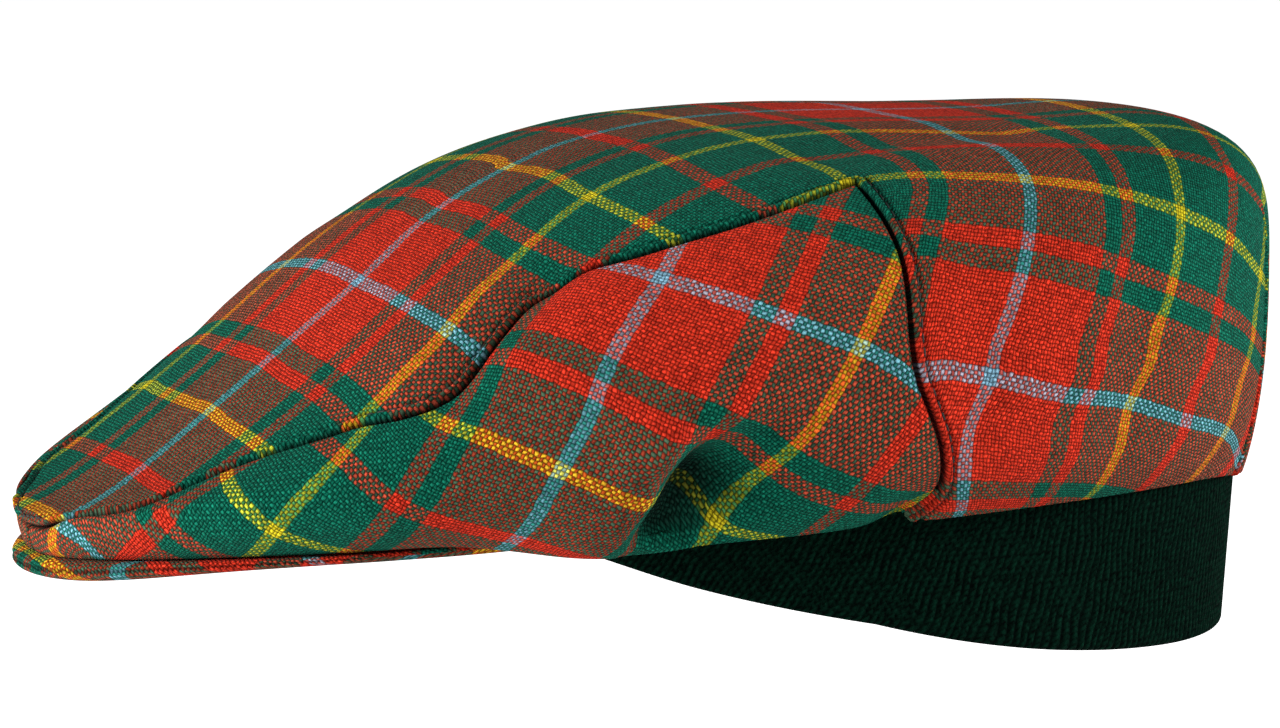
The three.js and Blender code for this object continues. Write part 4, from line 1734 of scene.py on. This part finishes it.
@dataclass(frozen=True)
class Stitching:
    """Topstitching of the welts: a row of short threads, each a slim spindle lying in the groove.

    A spindle is round, and its radius falls with the square root of 1 - end ** 4 to its ends at -1 and 1.
    """

    pitch: float = 2.9
    length: float = 2.3
    radius: float = 0.28
    rings: int = 7
    spokes: int = 6
    # a place inside the cap, which the stitches face away from
    heart: Place = (0.0, 0.0, 20.0)

    def build(self, lines: list[Array], finish: bpy.types.Material) -> bpy.types.Object:
        """Makes all the stitches as one object.

        Args:
            lines: the lines that the stitches follow.
            finish: the thread's material.

        Returns:
            The object.
        """
        end = np.linspace(-1, 1, self.rings)[:, None]
        turn = np.linspace(0, 2 * np.pi, self.spokes + 1)[None]
        wide = self.radius * np.sqrt(np.maximum(1 - end**4, 0))
        reach = [np.broadcast_to(v, (self.rings, self.spokes + 1))[..., None]
                 for v in (end, wide * np.cos(turn), wide * np.sin(turn))]
        flat = np.zeros((self.rings, self.spokes + 1))
        blocks = []
        for line in lines:
            gone = run_length(line)
            middles = np.arange(self.pitch / 2, gone[-1], self.pitch)
            first, last = (np.stack([np.interp(middles + way, gone, line[:, k]) for k in range(3)], -1)
                           for way in (-self.length / 2, self.length / 2))
            along = (last - first) / 2
            middle = (last + first) / 2
            side = unit(np.cross(along, middle - self.heart))
            out = unit(np.cross(side, along))
            for m, a, b, c in zip(middle, along, side, out):
                points = m + reach[0] * a + reach[1] * b + reach[2] * c
                points[:, -1] = points[:, 0]
                normals = unit(reach[1] * b + reach[2] * c)
                blocks.append(Block(points, normals, np.stack([flat, flat], -1), flat))
        return grid_object("topstitching", blocks, finish)


@dataclass(frozen=True)
class Peak:
    """Short stiff peak covered in the cloth, with a seam along the middle of its edge.

    Its section runs from the forehead arc over the upper face to the rounded edge and back below.
    """

    skin: Skin
    end_bearing: float = 49.0
    lip: float = 3.0
    clearance: float = 0.3
    inner_half_width: float = 74.0
    inner_depth: float = 51.0
    inner_centre: float = -47.0
    inner_end: float = 57.0
    inner_height: float = -1.5
    inner_thickness: float = 2.4
    # bearing, thickness at the edge
    edge: Table = ((0, 4.6), (16, 4.4), (36, 2.4), (49, 1.4))
    columns: int = 220
    face_rows: int = 14
    edge_rows: int = 16
    # part of the way in at which the faces end and the rounded edge starts
    edge_part: float = 0.06
    # depth of the seam in the edge, and half widths of its groove and of its painted shade as turns round the
    # edge
    seam_depth: float = 0.45
    groove_turn: float = 0.22
    shade_turn: float = 0.2
    # where the blue stripe lies across, and where the yellow lies lengthways, on the cloth rolled out flat
    blue_place: float = 32.4
    yellow_place: float = -162.7
    yellow_thread: float = 52.0
    thread: float = THREAD

    def section(self) -> tuple[Array, Array]:
        """Rows of the section.

        Returns:
            The part of the way in to the forehead arc, and the turn round the edge, 0 on the upper
            face and half a turn on the lower one.
        """
        edge = np.linspace(0, np.pi, self.edge_rows)
        quarter = [np.pi / 2]
        inner = np.concatenate([
            [1], np.linspace(1, self.edge_part, self.face_rows), self.edge_part * (1 - np.sin(edge)),
            np.linspace(self.edge_part, 1, self.face_rows), [1]])
        turn = np.concatenate([
            quarter, np.zeros(self.face_rows), edge, np.full(self.face_rows, np.pi), quarter])
        return inner[:, None], turn[:, None]

    def build(self, finish: bpy.types.Material) -> bpy.types.Object:
        """Makes the peak.

        Args:
            finish: the cloth's material.

        Returns:
            The object.
        """
        way = np.linspace(-1, 1, self.columns + 1)
        bearing = way * self.end_bearing
        rim = self.skin.rim_plan(bearing)
        out = unit(rim)
        edge = rim + out * self.lip
        angle = np.radians(way * self.inner_end)
        forehead = np.stack([
            self.inner_half_width * np.sin(angle), self.inner_centre - self.inner_depth * np.cos(angle)], -1)
        rim_height = self.skin.rim_height(bearing) - self.clearance
        thick = curve_through(self.edge, 1, np.abs(bearing))
        inner, turn = self.section()
        inner = np.broadcast_to(inner, (len(inner), len(way)))
        depth = self.inner_thickness * inner + thick * (1 - inner)
        top = rim_height + (self.inner_height - rim_height) * inner**2
        groove = self.seam_depth * bell(turn - np.pi / 2, self.groove_turn) * (inner < 0.5)
        flat = edge + (forehead - edge) * inner[..., None] - out * groove[..., None]
        height = top - depth * (1 - np.cos(turn)) / 2
        # The two ends are closed at half their thickness
        height[:, [0, -1]] = (top - depth / 2)[:, [0, -1]]
        points = np.concatenate([flat, height[..., None]], -1)
        normals = np.stack(np.broadcast_arrays(
            out[:, 0] * np.sin(turn), out[:, 1] * np.sin(turn), np.cos(turn)), -1)
        gone = np.linalg.norm(np.diff(points, axis=0), axis=-1)
        run = np.concatenate([np.zeros((1, len(way))), np.cumsum(gone, 0)])
        laid = edge + out * (run - run[self.face_rows + 1])[..., None]
        threads = np.stack([(self.blue_place - np.abs(laid[..., 0])) / self.thread,
                            self.yellow_thread - (laid[..., 1] - self.yellow_place) / self.thread], -1)
        # Painted shade in the seam round the edge
        shade = np.broadcast_to(bell(turn - np.pi / 2, self.shade_turn), height.shape)
        return grid_object("peak_cover", [Block(points, normals, threads, shade)], finish)


@dataclass(frozen=True)
class KnitBand:
    """Ribbed double band that hangs inside the rim, folded at its lower edge.

    Its section goes down the outer face, round the fold and up the inner face. The ribs are a rounded wave
    across it, a power of the sine's size, that slants at the sides and wanders a little.
    """

    skin: Skin
    front_bearing: float = 65.0
    wall: float = 3.0
    top: float = 11.0
    taper: float = 2.6
    depth: float = 36.0
    # bearing, height of the lower edge, inset from the rim
    hem: Table = ((65, -3.5, 4.4), (75, -12.5, 4.4), (90, -22, 4.4), (110, -30, 3), (135, -34.5, 2.2),
                  (180, -36, 2.2))
    rib: float = 1.9
    rib_height: float = 0.5
    rib_power: float = 0.7
    rib_middle: float = 0.6
    rib_cells: int = 7
    # how far the ribs slant, the bearing where that ends, over which turn it fades, and the least part left
    slant: float = 0.8
    slant_end: float = 125.0
    slant_fade: float = 50.0
    slant_least: float = 0.12
    # size of a wave of the ribs' lines, its length along the band and its length down
    wander: Table = ((0.5, 9, 5), (0.35, 3.7, -3.1), (0.25, 2.3, 1.9))
    course: float = 1.3
    rim_samples: int = 4000
    outer_rows: int = 26
    fold_rows: int = 6
    inner_rows: int = 7

    def section(self, bottom: Array) -> tuple[Array, Array, Array]:
        """Rows of the section.

        Args:
            bottom: height of the fold's axis in each column.

        Returns:
            The height, the way in from the outer face, and how far a row faces outwards, from 1 to -1.
        """
        radius = self.wall / 2
        turn = np.linspace(0, np.pi, self.fold_rows + 2)[1:-1, None]
        down = np.linspace(0, 1, self.outer_rows)[:, None]
        up = np.linspace(0, 1, self.inner_rows)[:, None]
        edge = np.full((1, len(bottom)), self.top)
        height = np.concatenate([
            edge, self.top + (bottom - self.top) * down, bottom - radius * np.sin(turn),
            bottom + (self.top - bottom) * up, edge])
        middle = np.full((1, 1), radius)
        inward = np.concatenate([
            middle, np.zeros_like(down), radius * (1 - np.cos(turn)), np.full_like(up, self.wall), middle])
        inward = np.repeat(inward, len(bottom), 1)
        inward[:, [0, -1]] = radius
        none = np.zeros((1, 1))
        facing = np.concatenate([none, np.ones_like(down), np.cos(turn), -np.ones_like(up), none])
        return height, inward, facing

    def build(self, finish: bpy.types.Material) -> bpy.types.Object:
        """Makes the band.

        Args:
            finish: the knit's material.

        Returns:
            The object.
        """
        fine = np.linspace(self.front_bearing, FULL_TURN - self.front_bearing, self.rim_samples)
        length = run_length(self.skin.rim_plan(fine))
        ribs = round(length[-1] / self.rib)
        even = np.linspace(0, length[-1], ribs * self.rib_cells + 1)
        bearing = np.interp(even, length, fine)
        turned = Skin.turned(bearing)
        hem = curve_through(self.hem, 1, turned)
        inset = curve_through(self.hem, 2, turned)
        rim = self.skin.rim_plan(bearing)
        out = unit(rim)
        height, inward, facing = self.section(hem + self.wall / 2)
        drop = np.maximum(-height, 0)
        slant = self.slant * np.clip((self.slant_end - turned) / self.slant_fade, self.slant_least, 1)
        slant = np.where(bearing < FULL_TURN / 2, 1, -1) * slant
        wander = sum(size * np.sin(even / along + height / down) for size, along, down in self.wander)
        count = (even - slant * height + wander) / self.rib
        wave = np.abs(np.sin(np.pi * count)) ** self.rib_power
        ribbed = (wave - self.rib_middle) * self.rib_height * facing
        offset = -inset - self.taper * drop / self.depth - inward + ribbed
        points = np.concatenate([rim + out * offset[..., None], height[..., None]], -1)
        normals = np.concatenate([out * facing[..., None], np.zeros(height.shape)[..., None]], -1)
        threads = np.stack([count, height / self.course], -1)
        # Painted shade in the grooves between the ribs
        return grid_object("knit_cover", [Block(points, normals, threads, 1 - wave**2)], finish)


@dataclass(frozen=True)
class Lamp:
    """A square soft light that faces the cap: its place and width in metres, and its power in watts."""

    name: str
    place: Place
    size: float
    power: float

    def build(self, target: Place) -> None:
        """Adds the light, which the camera doesn't see.

        Args:
            target: the place that it faces.
        """
        data = bpy.data.lights.new(self.name, "AREA")
        data.size = self.size
        data.energy = self.power
        made = new_object(self.name, data)
        made.location = self.place
        made.visible_camera = False
        made.rotation_euler = (Vector(target) - Vector(self.place)).to_track_quat("-Z", "Y").to_euler()


@dataclass(frozen=True)
class Studio:
    """Camera at the photograph's angle, soft lights and a plain pale floor, in metres and degrees."""

    yaw: float = 21.0
    elevation: float = 7.5
    distance: float = 1.3
    target: Place = (0.0, -0.024, 0.0247)
    pixels_per_metre: float = 4610.0
    width: int = 1280
    sensor: float = 36.0
    sight: float = 100.0
    lamps: tuple[Lamp, ...] = (
        Lamp("front_light", (-0.031, -1.784, 0.399), 0.7, 48.0),
        Lamp("back_light", (0.803, 1.312, 0.925), 0.7, 32.0),
    )
    surroundings: float = 0.13
    floor_height: float = -0.15
    floor_size: float = 12.0

    def camera(self) -> None:
        """Places the camera."""
        data = bpy.data.cameras.new("camera")
        data.sensor_width = self.sensor
        data.lens = self.sensor * self.distance * self.pixels_per_metre / self.width
        data.clip_end = self.sight
        yaw = math.radians(self.yaw)
        rise = math.radians(self.elevation)
        back = Vector((math.cos(yaw) * math.cos(rise), -math.sin(yaw) * math.cos(rise), math.sin(rise)))
        made = new_object("camera", data)
        made.location = Vector(self.target) + back * self.distance
        made.rotation_euler = (-back).to_track_quat("-Z", "Y").to_euler()
        bpy.context.scene.camera = made

    def floor(self, finish: bpy.types.Material) -> None:
        """Lays the floor below the cap.

        Args:
            finish: the floor's material.
        """
        half = self.floor_size / 2
        mesh = bpy.data.meshes.new("floor")
        around = ((-half, -half), (half, -half), (half, half), (-half, half))
        mesh.from_pydata([(x, y, self.floor_height) for x, y in around], [], [(0, 1, 2, 3)])
        mesh.materials.append(finish)
        new_object("floor", mesh)

    def build(self) -> None:
        """Sets up the camera, lights, floor and the pale surroundings."""
        self.camera()
        for lamp in self.lamps:
            lamp.build(self.target)
        bpy.context.scene.view_settings.view_transform = "Standard"
        self.floor(Paper().material())
        world = bpy.data.worlds.new("surroundings")
        world.use_nodes = True
        background = world.node_tree.nodes["Background"]
        background.inputs["Color"].default_value = (1.0, 1.0, 1.0, 1.0)
        background.inputs["Strength"].default_value = self.surroundings
        bpy.context.scene.world = world


@dataclass(frozen=True)
class FlatCut:
    """Size of a cloth piece before it is sewn: width and length in metres, and area in square metres."""

    flat: tuple[float, float]
    area: float


def corners(box: tuple[Vector, Vector]) -> list[list[float]]:
    """Two corners of a box as plain lists."""
    return [[float(v) for v in corner] for corner in box]


def main() -> None:
    """Builds the cap's pieces in order and reports each."""
    logging.basicConfig(level=logging.INFO, format="%(message)s")
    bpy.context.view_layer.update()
    skin = Skin()
    sewing = (skin, Cut(), Welt(), Hem(), Flattening())
    tartan = TartanCloth().material()
    crown, stitch_lines = CrownPanel(*sewing).build(tartan)
    panels = [SidePanel(*sewing, side) for side in Side]
    side_pattern = panels[0].pattern()
    sides = [panel.build(side_pattern, tartan) for panel in panels]
    peak = Peak(skin).build(tartan)
    knit = KnitBand(skin).build(RibKnit().material())
    for piece, node, slot in (
        (crown, "crown_panel", "tartan_cloth"), (sides[0], "side_panel_left", "tartan_cloth"),
        (sides[1], "side_panel_right", "tartan_cloth"), (peak, "peak", "tartan_cloth"),
        (knit, "knit_band", "knit"),
    ):
        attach(piece, BODY)
        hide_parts(node)
        LOG.info("%s: %d faces", piece.name, len(piece.data.polygons))
    stitches = Stitching().build(stitch_lines, SewingThread().material())
    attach(stitches, BODY)
    LOG.info("%s: %d faces", stitches.name, len(stitches.data.polygons))
    Studio().build()


if __name__ == "__main__":
    main()
